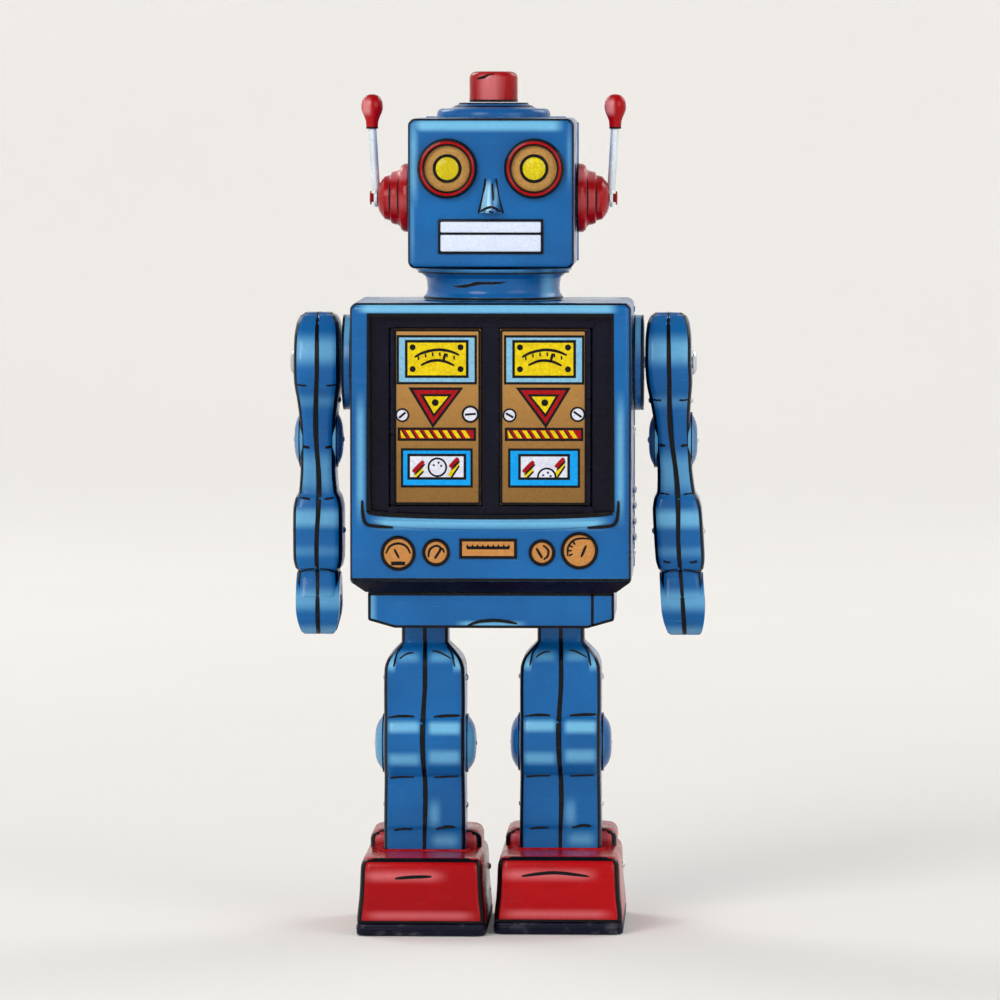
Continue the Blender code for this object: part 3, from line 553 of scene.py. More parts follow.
def boolean(bm, tool, operation="DIFFERENCE"):
    """One mesh cut by or joined with another."""
    made = []
    for label, shape in (("work", bm), ("tool", tool)):
        bmesh.ops.recalc_face_normals(shape, faces=shape.faces)
        mesh = bpy.data.meshes.new(label)
        shape.to_mesh(mesh)
        shape.free()
        item = bpy.data.objects.new(label, mesh)
        bpy.context.scene.collection.objects.link(item)
        made.append(item)
    modifier = made[0].modifiers.new("cut", "BOOLEAN")
    modifier.operation = operation
    modifier.solver = "EXACT"
    modifier.object = made[1]
    ready = made[0].evaluated_get(bpy.context.evaluated_depsgraph_get())
    result = bmesh.new()
    result.from_mesh(ready.data)
    for item in made:
        mesh = item.data
        bpy.data.objects.remove(item)
        bpy.data.meshes.remove(mesh)
    return result


def cut(bm, *tools):
    for tool in tools:
        bm = boolean(bm, tool)
    return bm


def ink_rims(bm, low=0.30, high=0.78, outward="-Y"):
    """Marks the middle of the rounding round one side, where the edge line is printed."""
    axis = "XYZ".index(outward[1])
    sign = -1 if outward[0] == "-" else 1
    bmesh.ops.recalc_face_normals(bm, faces=bm.faces)
    bm.normal_update()
    for face in bm.faces:
        if low < sign * face.normal[axis] < high:
            face.material_index = 1
    return bm


def piece(name, body, parts, replaces=()):
    """One visible piece from parts, each (mesh, finish) or (mesh, finish, finish of its marked faces)."""
    whole = bmesh.new()
    finishes = []
    for bm, *wanted in parts:
        numbers = []
        for finish in wanted:
            material = FINISH[finish] if isinstance(finish, str) else finish
            if material not in finishes:
                finishes.append(material)
            numbers.append(finishes.index(material))
        bmesh.ops.recalc_face_normals(bm, faces=bm.faces)
        for face in bm.faces:
            face.material_index = numbers[min(face.material_index, len(numbers) - 1)]
        loose = bpy.data.meshes.new("part")
        bm.to_mesh(loose)
        bm.free()
        whole.from_mesh(loose)
        bpy.data.meshes.remove(loose)
    for vert in whole.verts:
        vert.co = vert.co * MM + CENTRE
    mesh = bpy.data.meshes.new(name)
    whole.to_mesh(mesh)
    whole.free()
    mesh.shade_smooth()
    mesh.set_sharp_from_angle(angle=math.radians(33))
    for material in finishes:
        mesh.materials.append(material)
    item = bpy.data.objects.new(name, mesh)
    bpy.context.scene.collection.objects.link(item)
    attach(item, body)
    if replaces:
        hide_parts(*replaces)
    return item


def keep(node, finish, rounding=0.0):
    """CAD node that stays: it gets a finish and, if asked, finely rounded edges."""
    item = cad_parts[node]
    item.data.materials.clear()
    item.data.materials.append(FINISH[finish] if isinstance(finish, str) else finish)
    if rounding:
        modifier = item.modifiers.new("rounding", "BEVEL")
        modifier.width = rounding * MM
        modifier.segments = 2
        modifier.limit_method = "ANGLE"
        modifier.angle_limit = math.radians(40)
        modifier.harden_normals = False


# ---------------------------------------------------------------- torso

def louvre_row(axis, face, across, heights, width, finish):
    """Pressed louvres, one above the other, on a back face (axis Y) or a side face (axis X)."""
    parts = []
    out = math.copysign(1, face)
    normal = (0, out, 0) if axis == "Y" else (out, 0, 0)
    for z in heights:
        steps = [across + width * (t / 12 - 0.5) for t in range(13)]
        spots = [(a, face, z) if axis == "Y" else (face, a, z) for a in steps]
        parts.append(bead(spots, normal, 3.0, 1.3, finish, 0.5))
        slit = [Vector(spot) - Vector((0, 0, 1.65)) for spot in spots[1:-1]]
        parts.append((ribbon(slit, [normal] * 11, 0.9, 0.12, 0.3, 0.3), "ink"))
    return parts


def rivet(at, normal, radius=1.6, finish="steel"):
    """Domed rivet head standing on a face that looks along an axis."""
    axis = max(range(3), key=lambda k: abs(normal[k]))
    out = math.copysign(1, normal[axis])
    profile = [(0, 0.62), (0.35, 0.58), (0.68, 0.42), (0.90, 0.20), (1.0, 0.0), (1.0, -0.25), (0, -0.25)]
    name = "XYZ"[axis]
    bm = lathe([(r * radius, out * h * radius) for r, h in profile], name, at, 20)
    return bm, finish


def slotted_screw(x, z, face, radius, angle):
    """Printed-on screw head of a door: pale disc, ink ring and ink slot."""
    slot = Vector((math.cos(math.radians(angle)), math.sin(math.radians(angle)))) * radius * 0.62
    line = [(x - slot.x, z - slot.y), (x, z), (x + slot.x, z + slot.y)]
    dished = [(0, -0.40), (0.58 * radius, -0.40), (0.74 * radius, -0.34), (0.78 * radius, 0.2), (0, 0.2)]
    return [(plate(disc(x, z, radius), face, 0.16), "ink"),
            (lathe(dished, "Y", (x, face, z), 36), "white"),
            ink_line(line, face - 0.38, 0.75, lift=0.06)]


def build_torso():
    low, high = box("torso_shell")
    bay_low, bay_high = box("chest_bay")
    width = high.x
    wall = 0.6
    radius = 2.5
    recess = bay_high.x - 1.0
    recess_top = bay_high.z - 0.9
    recess_low = bay_low.z + 2.6
    sag = 1.7
    outline = []
    for i in range(25):
        turn = math.pi * i / 24
        outline.append((recess * math.cos(turn), recess_low - sag * math.sin(turn)))
    outline += [(-recess, recess_top), (recess, recess_top)]
    case = ink_rims(rounded_box(low, (width, high.y, high.z), radius, ("+Y", "-Z")))
    inside = rounded_box((wall - width, low.y + wall, low.z - 5), (width - wall, high.y + 5, high.z - wall),
                         radius - wall, ("+Y", "-Z"))
    case = cut(case, inside, prism(outline, "Y", low.y - 2, low.y + 1))
    axle_z = centre_of("shoulder_disc_left").z
    for side in (-1, 1):
        case = cut(case, bore("X", (side * width, 0, axle_z), 2.4, 4, 24))

    front = {"Y": (low.y - 1, low.y + 1, 0.5)}
    ledge = recess_low - 5.3
    # Painted highlights: a band along the top of the front, one on the ledge under the recess and a strip beside
    # each side of it.
    painted_highlights = [({"X": (4 - width, width - 6, 2.5), "Z": (recess_top + 0.8, high.z - 0.2, 0.7)}, 0.85),
               ({"X": (3 - recess, recess - 3, 3.5), "Z": (ledge, recess_low - sag - 0.4, 1.5), **front}, 0.80)]
    for side in (-1, 1):
        x0, x1 = sorted((side * (recess + 1.6), side * (recess + 3.8)))
        painted_highlights.append(({"X": (x0, x1, 1.1), "Z": (recess_low, recess_low + 36, 7), **front}, 0.62))
    blue = blue_enamel("torso_enamel", painted_highlights)
    parts = [(case, blue, "ink"),
             ink_line([(0.6 - width, low.z + 0.55), (width - 0.6, low.z + 0.55)], low.y, 1.0)]
    for side in (-1, 1):
        out = (side, 0, 0)
        parts += louvre_row("X", side * width, 16, [low.z + 12 + 5.4 * k for k in range(4)], 17, blue)
        parts.append(bead([(side * width, high.y - 1.6, low.z + 1 + 3.9 * k) for k in range(24)],
                          out, 1.5, 0.35, blue))
        for z in (low.z + 6, axle_z - 24, high.z - 6):
            parts.append(rivet((side * width, high.y - 5.2, z), out, 1.3))
    piece("torso_case", "torso", parts, ["torso_shell"])

    border = [(x, low.y, z) for x, z in outline + outline[:1]]
    lip = ribbon(border, [(0, -1, 0)] * len(border), 1.5, 0.16, 0.4)
    piece("recess_lip", "torso", [(lip, "ink")])

    sill = []
    for i in range(33):
        turn = math.pi * i / 32
        sill.append(((recess - 1.5) * math.cos(turn), low.y, recess_low - 2.9 - sag * math.sin(turn)))
    beads = [bead(sill, (0, -1, 0), 3.0, 0.7, blue, 0.9)]
    corner = ((2.1, 3.9), (1.9, -0.4), (0.9, -3.8), (-2.4, -4.8), (-8.3, -5.2))
    for side in (-1, 1):
        points = [(side * (recess + a), recess_low + b) for a, b in corner]
        beads.append(ink_line(curve(points), low.y, 1.15, lift=0.5, taper=0.5))
    piece("recess_sill", "torso", beads)

    row = low.z + 9.8
    dials = []
    for share, rise, size, kind in ((-0.655, -0.3, 5.9, "sweep"), (-0.385, 0, 4.7, "arrow"),
                                    (0.368, 0, 4.5, "bent"), (0.634, 0.7, 6.3, "ticks")):
        dials += dial(share * width, row + rise, size, low.y, kind)
    piece("panel_dials", "torso", dials)
    piece("panel_scale", "torso", scale_bar(-0.015 * width, row + 1.3, low.y))


DIAL_MARKS = {
    "sweep": (([(-0.70, -0.02), (-0.46, 0.40), (0, 0.56), (0.46, 0.40), (0.70, -0.02)], 0.8, 0.4),
              ([(-0.22, 0.24), (0.05, -0.28)], 0.8, 0.4),
              ([(-0.40, -0.58), (0.40, -0.58)], 1.3, 0.1)),
    "arrow": (([(-0.55, -0.35), (-0.45, 0.20), (0.02, 0.48), (0.42, 0.28)], 0.8, 0.4),
              ([(-0.10, -0.45), (0.34, 0.22)], 0.9, 0.4),
              ([(0.58, -0.02), (0.46, 0.26), (0.20, 0.20)], 0.7, 0.4)),
    "bent": (([(-0.42, 0.35), (0.02, -0.42)], 0.9, 0.4),
             ([(0.08, 0.55), (0.46, 0.20), (0.42, -0.25), (0.12, -0.52)], 0.75, 0.4)),
    "ticks": (([(-0.62, -0.30), (-0.60, 0.20), (-0.30, 0.56), (0.14, 0.66), (0.56, 0.62)], 0.7, 0.4),
              ([(0.36, 0.28), (0.10, -0.34)], 0.9, 0.4)),
}


def dial(x, z, radius, face, kind):
    """Small round instrument: raised ink rim, dished tan face and its marks."""
    rim = [(radius, 0.3), (radius, -0.55), (radius - 0.35, -0.85), (radius - 0.85, -0.85),
           (radius - 1.1, -0.45), (radius - 1.1, 0.3)]
    bowl = [(0, -0.36), (0.7 * radius, -0.34), (radius - 0.9, -0.28), (radius - 0.9, 0.2), (0, 0.2)]
    parts = [(lathe(rim, "Y", (x, face, z), 56, True), "ink"), (lathe(bowl, "Y", (x, face, z), 48), "dial")]
    marks = list(DIAL_MARKS[kind])
    for turn in (125, 152, 180, 206) if kind == "ticks" else ():
        a = math.cos(math.radians(turn))
        b = math.sin(math.radians(turn))
        marks.append(([(0.62 * a, 0.62 * b), (0.40 * a, 0.40 * b)], 0.6, 0.1))
    for points, width, taper in marks:
        path = curve([(x + a * radius, z + b * radius) for a, b in points], 5)
        parts.append(ink_line(path, face - 0.34, width, taper=taper))
    return parts


def scale_bar(x, z, face):
    """Long instrument: ink frame, tan face and a toothed scale."""
    half, tall = 9.7, 3.4
    parts = [(plate(rectangle(x - half, x + half, z - tall, z + tall), face, 0.5), "ink"),
             (plate(rectangle(x - half + 1, x + half - 1, z - tall + 1, z + tall - 1), face, 0.62), "dial"),
             (plate(rectangle(x - 7.2, x + 7.2, z - 0.2, z + 0.8), face, 0.70), "ink")]
    for k in range(9):
        at = x - 7.0 + 1.75 * k
        parts.append((plate([(at - 0.5, z + 0.5), (at + 0.5, z + 0.5), (at, z + 1.6)], face, 0.70), "ink"))
    return parts


def back_outline(half, bottom, top, face):
    """Ink line along the edges of a back pan."""
    radius = 2.0
    wide = half - radius - 0.75
    loop = []
    for cx, cz, start in ((wide, top - radius - 0.75, 0), (-wide, top - radius - 0.75, 90),
                          (-wide, bottom + radius + 0.75, 180), (wide, bottom + radius + 0.75, 270)):
        loop += arc(cx, cz, radius, start, start + 90, 4)
    loop.append(loop[0])
    return ribbon([(a, face, c) for a, c in loop], [(0, 1, 0)] * len(loop), 1.1), "ink"


def build_back():
    low, high = box("torso_back")
    lever_low, lever_high = box("stop_lever")
    width = high.x
    face = high.y
    key = (0, face, centre_of("winding_key").z)
    lever = (lever_high.x - 3.6, face, (lever_low.z + lever_high.z) / 2)
    pan = rounded_box((-width, face - 0.6, low.z), (width, face, high.z), 2.5, ("-Y", "+Y", "-Z"))
    pan = cut(pan, bore("Y", key, 3.7, 3, 36), bore("Y", lever, 1.9, 3, 24))
    parts = [(pan, "blue"), back_outline(width, low.z, high.z, face)]
    inset = 5.5
    corners = [(inset - width, low.z + 9), (inset - width, high.z - inset), (width - inset, high.z - inset),
               (width - inset, low.z + 9)]
    for (ax, az), (bx, bz) in zip(corners, corners[1:] + corners[:1]):
        spots = [(ax + (bx - ax) * t / 10, face, az + (bz - az) * t / 10) for t in range(11)]
        parts.append(bead(spots, (0, 1, 0), 2.4, 0.8, "blue", 0.12))
    parts += louvre_row("Y", face, 0, [high.z - 14 - 6 * k for k in range(4)], 44, "blue")
    for x in (-0.6 * width, 0.6 * width):
        for z in (low.z + 5, high.z - 2.7):
            parts.append(rivet((x, face, z), (0, 1, 0), 1.2))
    piece("torso_back_pan", "torso", parts, ["torso_back"])

    collar = [(3.7, 0.4), (7.4, 0.4), (7.4, -0.2), (6.6, -0.8), (5.2, -1.0), (3.9, -0.9), (3.7, -0.4)]
    washer = [(1.9, 0.3), (5.0, 0.3), (4.8, -0.25), (1.9, -0.3)]
    piece("key_collar", "torso",
          [(lathe([(r, -h) for r, h in collar], "Y", key, 48, True), "steel"),
           (lathe([(r, -h) for r, h in washer], "Y", lever, 36, True), "steel")])


def build_waist():
    keep("waist_band", "navy", 0.25)
    low, high = box("hips")
    face = low.y
    # Painted highlights: a band down the left edge of the hips and one along the bottom of the front.
    painted_highlights = [({"X": (low.x + 0.5, low.x + 2.2, 1.4)}, 0.65),
               ({"X": (-10, 10, 3), "Z": (low.z, low.z + 2.2, 0.7), "Y": (face - 1, face + 1, 0.5)}, 0.7)]
    keep("hips", blue_enamel("hips_enamel", painted_highlights), 0.5)
    boss = [(-8.0, low.z + 0.7), (-4.2, low.z + 2.1), (1.0, low.z + 2.6), (5.4, low.z + 2.2),
            (8.8, low.z + 1.5)]
    fold = [(high.x - 7.3, high.z - 0.2), (high.x - 7.3, low.z + 1.0)]
    parts = [ink_line(fold, face, 1.2, taper=0.2), ink_line(curve(boss), face, 1.1, lift=0.4, taper=0.6)]
    rim = [(low.x + 0.3, low.z + 2.9), (low.x + 9, low.z + 0.4), (high.x - 9, low.z + 0.4),
           (high.x - 0.3, low.z + 2.9)]
    left = [(low.x + 0.4, high.z - 0.2), (low.x + 0.4, low.z + 3.0)]
    right = [(high.x - 0.4, high.z - 0.2), (high.x - 0.4, low.z + 3.0)]
    parts += [ink_line(line, face, 0.9) for line in (rim, left, right)]
    parts.append(ink_line([(low.x + 0.2, high.z - 0.5), (high.x - 0.2, high.z - 0.5)], face, 1.0))
    piece("hips_lines", "torso", parts)


def build_chest():
    keep("chest_bay", "navy")
    for side, label in SIDES:
        low, high = box("door_" + label)
        pin_x = side * (max(abs(low.x), abs(high.x)) - 0.9)
        pin_y = low.y + 0.9
        x0, x1 = sorted((side * min(abs(low.x), abs(high.x)), side * (abs(pin_x) - 0.5)))
        z0 = low.z + 1.9
        z1 = high.z - 1.9
        face = high.y - 1.2
        parts = [(rounded_box((x0, face, z0), (x1, high.y, z1), 0.35, (), 3), "tan")]
        edges = rectangle(x0 + 0.45, x1 - 0.45, z0 + 0.45, z1 - 0.45)
        for a, b in zip(edges, edges[1:] + edges[:1]):
            parts.append(ink_line([a, b], face, 0.8, lift=0.05))
        piece("door_leaf_" + label, "door_" + label, parts, ["door_" + label])

        knuckles = []
        for k in range(5):
            start = z0 + (z1 - z0) * k / 5 + 0.25
            end = z0 + (z1 - z0) * (k + 1) / 5 - 0.25
            knuckle = [(0, start), (0.75, start), (0.9, start + 0.2), (0.9, end - 0.2), (0.75, end), (0, end)]
            knuckles.append((lathe(knuckle, "Z", (pin_x, pin_y, 0), 20), "navy"))
        pin = [(0, low.z), (0.5, low.z), (0.5, high.z), (0, high.z)]
        knuckles.append((lathe(pin, "Z", (pin_x, pin_y, 0), 16), "navy"))
        piece("door_hinge_" + label, "door_" + label, knuckles)
        middle_x = (x0 + x1) / 2 + 0.2 * side
        piece("door_print_" + label, "door_" + label,
              door_artwork(middle_x, z0, z1, face, label == "right"))


def door_artwork(x, z0, z1, face, second):
    """Everything printed on a door, in layers; heights are shares of the door's height."""
    parts = []

    def at(share):
        return z0 + (z1 - z0) * share

    def layer(outline, level, finish):
        parts.append((plate(outline, face, 0.07 + 0.06 * level), finish))

    def panel(half, low, high, level, finish):
        layer(rectangle(x - half, x + half, at(low), at(high)), level, finish)

    def triangle(left, right, top, point, tip, level, finish):
        layer([(x - left, at(top)), (x + right, at(top)), (x + point, at(tip))], level, finish)

    def line(points, level, width, finish="ink", taper=0.4):
        path = curve([(x + a, at(b)) for a, b in points], 6)
        parts.append((front_line(path, face - 0.06 * level, width, lift=0.07, taper=taper), finish))

    # upper gauge
    panel(13.5, 0.685, 0.965, 0, "ink")
    panel(12.7, 0.699, 0.951, 1, "gauge")
    panel(10.7, 0.722, 0.938, 2, "ink")
    panel(9.8, 0.737, 0.922, 3, "yellow")
    for a in (-8.1, 8.0):
        for b in (0.772, 0.896):
            layer(disc(x + a, at(b), 1.0), 4, "ink")
    line([(-7.4, 0.840), (-4.5, 0.866), (0.2, 0.882), (4.3, 0.874), (7.6, 0.852)], 4, 0.95)
    for k in range(6):
        a = -6.2 + 2.4 * k
        line([(a, 0.868 - 0.0006 * a * a), (a + 0.1, 0.847 - 0.0006 * a * a)], 4, 0.55, taper=0.1)
    line([(-5.3, 0.794), (-2.4, 0.816), (0.5, 0.822), (3.4, 0.812), (5.9, 0.792)], 4, 0.95)
    line([(2.9, 0.862), (2.3, 0.822)], 4, 0.9)

    # triangle, from its rim inwards
    tip = 0.6 if second else -1.3
    triangle(9.6, 9.0, 0.668, tip, 0.436, 0, "ink")
    triangle(7.9, 7.4, 0.653, tip, 0.462, 1, "red_ink")
    triangle(5.7, 5.2, 0.630, tip * 0.8, 0.497, 2, "ink")
    triangle(4.2, 3.8, 0.617, tip * 0.7, 0.520, 3, "yellow")
    layer(disc(x + tip * 0.4, at(0.582), 1.15), 4, "ink")

    for a, share, radius, angle in (((-11.6, 0.510, 2.35, -30), (11.3, 0.516, 2.6, -35)) if second else
                                    ((-11.6, 0.510, 2.35, 40), (11.3, 0.516, 2.95, 5))):
        parts.extend(slotted_screw(x + a, at(share), face, radius, angle))

    # striped bar
    low = 0.364
    high = 0.440
    panel(13.2, low, high, 0, "ink")
    panel(12.4, low + 0.014, high - 0.014, 1, "red_ink")
    for k in range(8):
        a = -11.9 + 3.1 * k
        stripe = []
        for b, share in ((a, low + 0.016), (a + 1.5, low + 0.016), (a - 0.2, high - 0.016),
                         (a - 1.7, high - 0.016)):
            stripe.append((x + min(max(b, -12.3), 12.3), at(share)))
        layer(stripe, 2, "yellow")
    for k in range(7):
        a = -10.1 + 3.1 * k
        line([(a, low + 0.018), (a - 1.6, high - 0.018)], 3, 0.45, taper=0.0)

    # lower window with a globe
    half = 8.7 if second else 9.9
    panel(12.1, 0.098, 0.322, 0, "ink")
    panel(11.3, 0.112, 0.308, 1, "window")
    panel(half, 0.143, 0.291, 2, "ink")
    panel(half - 0.9, 0.158, 0.276, 3, "white")
    globe_x = x + (0.9 if second else 0.2)
    globe = 0.158 if second else 0.214
    for level, radius, finish in ((4, 3.3, "ink"), (5, 2.65, "white")):
        whole = disc(globe_x, at(globe), radius)
        layer(arc(globe_x, at(globe), radius, 0, 180, 24) if second else whole, level, finish)
    for a, b in ((-1.2, 0.012), (0.4, 0.026), (1.3, 0.008)):
        layer(disc(globe_x + a, at(globe + b), 0.36), 6, "ink")
    strokes = (("red_ink", -8.0, 0.186, 3.6, 0.062), ("yellow", -7.4, 0.163, 2.6, 0.045),
               ("red_ink", 4.4, 0.214, 2.9, 0.052), ("yellow", 4.2, 0.164, 3.0, 0.075))
    for finish, a, b, run, climb in strokes:
        a = a * half / 9.9
        line([(a, b), (a + run, b + climb)], 4, 1.5, finish, 0.3)
        line([(a + 0.5, b - 0.014), (a + run + 0.4, b + climb - 0.016)], 5, 0.6)
    return parts


# ---------------------------------------------------------------- head

def build_head():
    low, high = box("head_shell")
    width = high.x
    _, eye_high = box("eye_bezel_left")
    face = eye_high.y + 0.3
    wall = 0.6
    case = ink_rims(rounded_box((-width, face, low.z), (width, high.y, high.z), 2.5, ("+Y",)))
    case = cut(case, rounded_box((wall - width, face + wall, low.z + wall),
                                 (width - wall, high.y + 5, high.z - wall), 1.9, ("+Y",)))
    # Painted highlights: a band along the top, strips down the left edge of the front and a fainter strip down
    # the right edge.
    painted_highlights = [({"X": (3 - width, width - 5, 2.5), "Z": (high.z - 4.0, high.z - 0.5, 1.1)}, 0.85),
               ({"X": (1.2 - width, 3.0 - width, 1.4), "Z": (high.z - 26, high.z - 3, 7),
                 "Y": (face - 1, face + 4, 1)}, 0.75),
               ({"X": (1.2 - width, 2.0 - width, 1.0), "Z": (low.z + 4, high.z - 26, 6),
                 "Y": (face - 1, face + 4, 1)}, 0.45),
               ({"X": (width - 2.2, width - 1.2, 1.0), "Z": (low.z + 30, high.z - 5, 5),
                 "Y": (face - 1, face + 4, 1)}, 0.40)]
    blue = blue_enamel("head_enamel", painted_highlights)
    parts = [(case, blue, "ink")]
    for side in (-1, 1):
        seam = [(side * width, high.y - 1.5, low.z + 1.5 + 4.3 * k) for k in range(12)]
        parts.append((ribbon(seam, [(side, 0, 0)] * 12, 1.4, 0.35, 0.3, 0.0, ROUND), blue))
    crown = [(x, high.y - 1.5, high.z) for x in range(-24, 25, 4)]
    parts.append((ribbon(crown, [(0, 0, 1)] * len(crown), 1.4, 0.35, 0.3, 0.0, ROUND), blue))
    piece("head_case", "torso", parts, ["head_shell"])
    nose_low = low.z + 18.8
    piece("nose", "torso", nose(face, nose_low))

    _, back_high = box("head_back")
    pan = rounded_box((-width, back_high.y - 0.6, low.z), (width, back_high.y, high.z), 2.5, ("-Y", "+Y"))
    back = [(pan, "blue"), back_outline(width, low.z, high.z, back_high.y)]
    for turn in range(2):
        cross = [(t * 2.0 - 20, 0) if turn else (0, t * 1.6 - 16) for t in range(21)]
        spots = [(a, back_high.y, (low.z + high.z) / 2 + b) for a, b in cross]
        back.append((ribbon(spots, [(0, 1, 0)] * 21, 3.0, 0.8, 0.3, 0.9, ROUND), "blue"))
    for x in (5 - width, width - 5):
        for z in (low.z + 5, high.z - 5):
            back.append(rivet((x, back_high.y, z), (0, 1, 0), 1.2))
    piece("head_back_pan", "torso", back, ["head_back"])
    build_top()
    build_eyes()
    build_mouth()
    build_ears()


def nose(face, bottom):
    """Pressed wedge nose with a painted highlight on its left facet and ink edges, standing on the head's front.
    """
    tall = 11.6
    half_low, half_high, reach = 3.9, 1.7, 4.2
    bm = bmesh.new()
    rows = []
    for share in (0.0, 0.06, 0.5, 0.94, 1.0):
        half = half_low + (half_high - half_low) * share
        depth = reach * (1 - share) ** 0.8 + 0.35
        if share == 0.0:
            depth -= 0.7
        z = bottom + tall * share
        rows.append([bm.verts.new(spot) for spot in
                     ((-half, face + 0.3, z), (-0.36 * half, face - 0.86 * depth, z),
                      (0.08 * half, face - depth, z),
                      (0.46 * half, face - 0.84 * depth, z), (half, face + 0.3, z))])
    for low, high in zip(rows, rows[1:]):
        for i in range(4):
            bm.faces.new((low[i], low[i + 1], high[i + 1], high[i]))
        bm.faces.new((low[4], low[0], high[0], high[4]))
    bm.faces.new(rows[0])
    bm.faces.new(rows[-1])
    # Painted highlights on the left facet and a narrow strip on the right, in a paler blue.
    painted_highlights = [({"X": (-3.4, 0.1, 0.7), "Z": (bottom, bottom + 10, 2)}, 0.95),
               ({"X": (1.2, 2.4, 0.6), "Z": (bottom + 2, bottom + 9, 2)}, 0.7)]
    blue = blue_enamel("nose_enamel", painted_highlights, srgb(150, 206, 236))

    def depth_at(x, z):
        share = min(max((z - bottom) / tall, 0.0), 1.0)
        half = half_low + (half_high - half_low) * share
        depth = reach * (1 - share) ** 0.8 + 0.35
        return face - depth * max(0.0, 1 - 0.25 * abs(x) / half)

    parts = [(bm, blue)]
    left = [(-half_high - 0.1, bottom + tall), (-2.5, bottom + 6), (-half_low - 0.3, bottom - 0.2)]
    right = [(half_high + 0.1, bottom + tall), (2.4, bottom + 6), (half_low + 0.3, bottom - 0.2)]
    for points in (left, right):
        parts.append((front_line(curve(points, 6), face, 0.9, lift=0.14, taper=0.5), "ink"))
    bridge = [(0.5, bottom + tall - 1.6), (0.7, bottom + 7.4), (1.0, bottom + 4.2)]
    parts.append((front_line(curve(bridge, 6), depth_at, 0.75, lift=0.12, root=0.5, taper=0.5), "ink"))
    under = [(x, bottom + rise) for x, rise in ((-3.4, 0.5), (-1.7, 1.5), (0.2, 2.0), (1.8, 1.5), (3.5, 0.5))]
    parts.append((front_line(curve(under, 6), depth_at, 0.85, lift=0.12, root=0.8, taper=0.4), "ink"))
    drop = [(-0.5, bottom + 0.6), (0.9, bottom + 0.2)]
    parts.append((front_line(drop, depth_at, 0.8, lift=0.12, root=0.8, taper=0.2), "ink"))
    return parts


def build_top():
    low, high = box("head_collar")
    tall = high.z - low.z
    wide = high.x
    profile = [(0, tall), (0.575 * wide, tall), (0.60 * wide, tall - 0.15), (0.65 * wide, tall - 0.8)]
    profile += scaled([(0.74, 0.66), (0.78, 0.61), (0.93, 0.60), (0.965, 0.52), (0.99, 0.38), (1, 0.20),
                       (1, 0), (0.96, 0), (0.92, 0.4), (0, 0.4)], wide, tall)
    collar = lathe([(r, low.z + z) for r, z in profile], "Z", segments=96)
    lines = [hoop("Z", (0, 0, low.z + rise * tall), share * wide, 1.0, tilt, lift=0.06)
             for share, rise, tilt in ((0.69, 0.76, (0.69, 1)), (0.995, 0.12, (1, 0)), (0.585, 1, (0, 1)))]
    piece("crown_collar", "torso", [(collar, "blue")] + lines, ["head_collar"])

    low, high = box("head_lamp")
    tall = high.z - low.z
    wide = high.x
    profile = [(0, tall), (0.70 * wide, tall), (0.84 * wide, tall - 0.25), (0.93 * wide, tall - 0.75),
               (0.98 * wide, tall - 1.4), (wide, tall - 2.2), (wide, 0.6), (wide, 0), (0.9 * wide, 0),
               (0.88 * wide, tall - 2.2), (0, tall - 1.2)]
    # Painted highlight: a soft upright band on the front of the lamp, left of the middle.
    painted_highlights = [({"X": (-0.55 * wide, 0.25 * wide, 1.8), "Z": (low.z - 2, high.z - 1.2, 0.8),
                 "Y": (-20, 0, 1)}, 0.62)]
    red = plastic("lamp_plastic", RED, RED_DEEP, RED_SHINE, painted_highlights)
    crease = [(x, high.z - drop) for x, drop in ((-5.3, 2.5), (-3.2, 2.0), (-1.6, 1.5), (0.6, 0.95))]

    def on_lamp(x, z):
        return -math.sqrt(max(0.0, (wide + 0.02) ** 2 - x * x)) + max(0.0, z - high.z + 2.0) * 0.5

    parts = [(lathe([(r, low.z + z) for r, z in profile], "Z", segments=96), red),
             ink_line(curve(crease, 6), on_lamp, 1.0, lift=0.12, root=0.8, taper=0.7),
             hoop("Z", (0, 0, low.z + 0.45), wide, 0.8, lift=0.06)]
    piece("crown_lamp", "torso", parts, ["head_lamp"])


def build_eye_ring(label, low, high, spot):
    outer = (high.x - low.x) / 2
    reach = high.y - low.y
    shapes = (("red_plastic", [(2.1, 0), (0.4, 0), (0.4, -0.75 * reach), (0.75, -0.97 * reach),
                               (1.25, -1.04 * reach), (1.7, -0.95 * reach), (2.1, -0.6 * reach)]),
              ("ink", [(0.9, 0.2), (-0.12, 0.2), (-0.12, -0.55 * reach), (0.1, -0.82 * reach),
                       (0.45, -1.0 * reach), (0.8, -1.04 * reach), (0.9, -0.9 * reach)]),
              ("ink", [(2.4, -0.2), (1.7, -0.2), (1.7, -reach), (1.85, -1.04 * reach),
                       (2.15, -0.98 * reach), (2.4, -0.7 * reach)]))
    parts = [(lathe([(outer - inset, level) for inset, level in shape], "Y", spot, 96, True), finish)
             for finish, shape in shapes]
    piece("eye_ring_" + label, "torso", parts, ["eye_bezel_" + label])


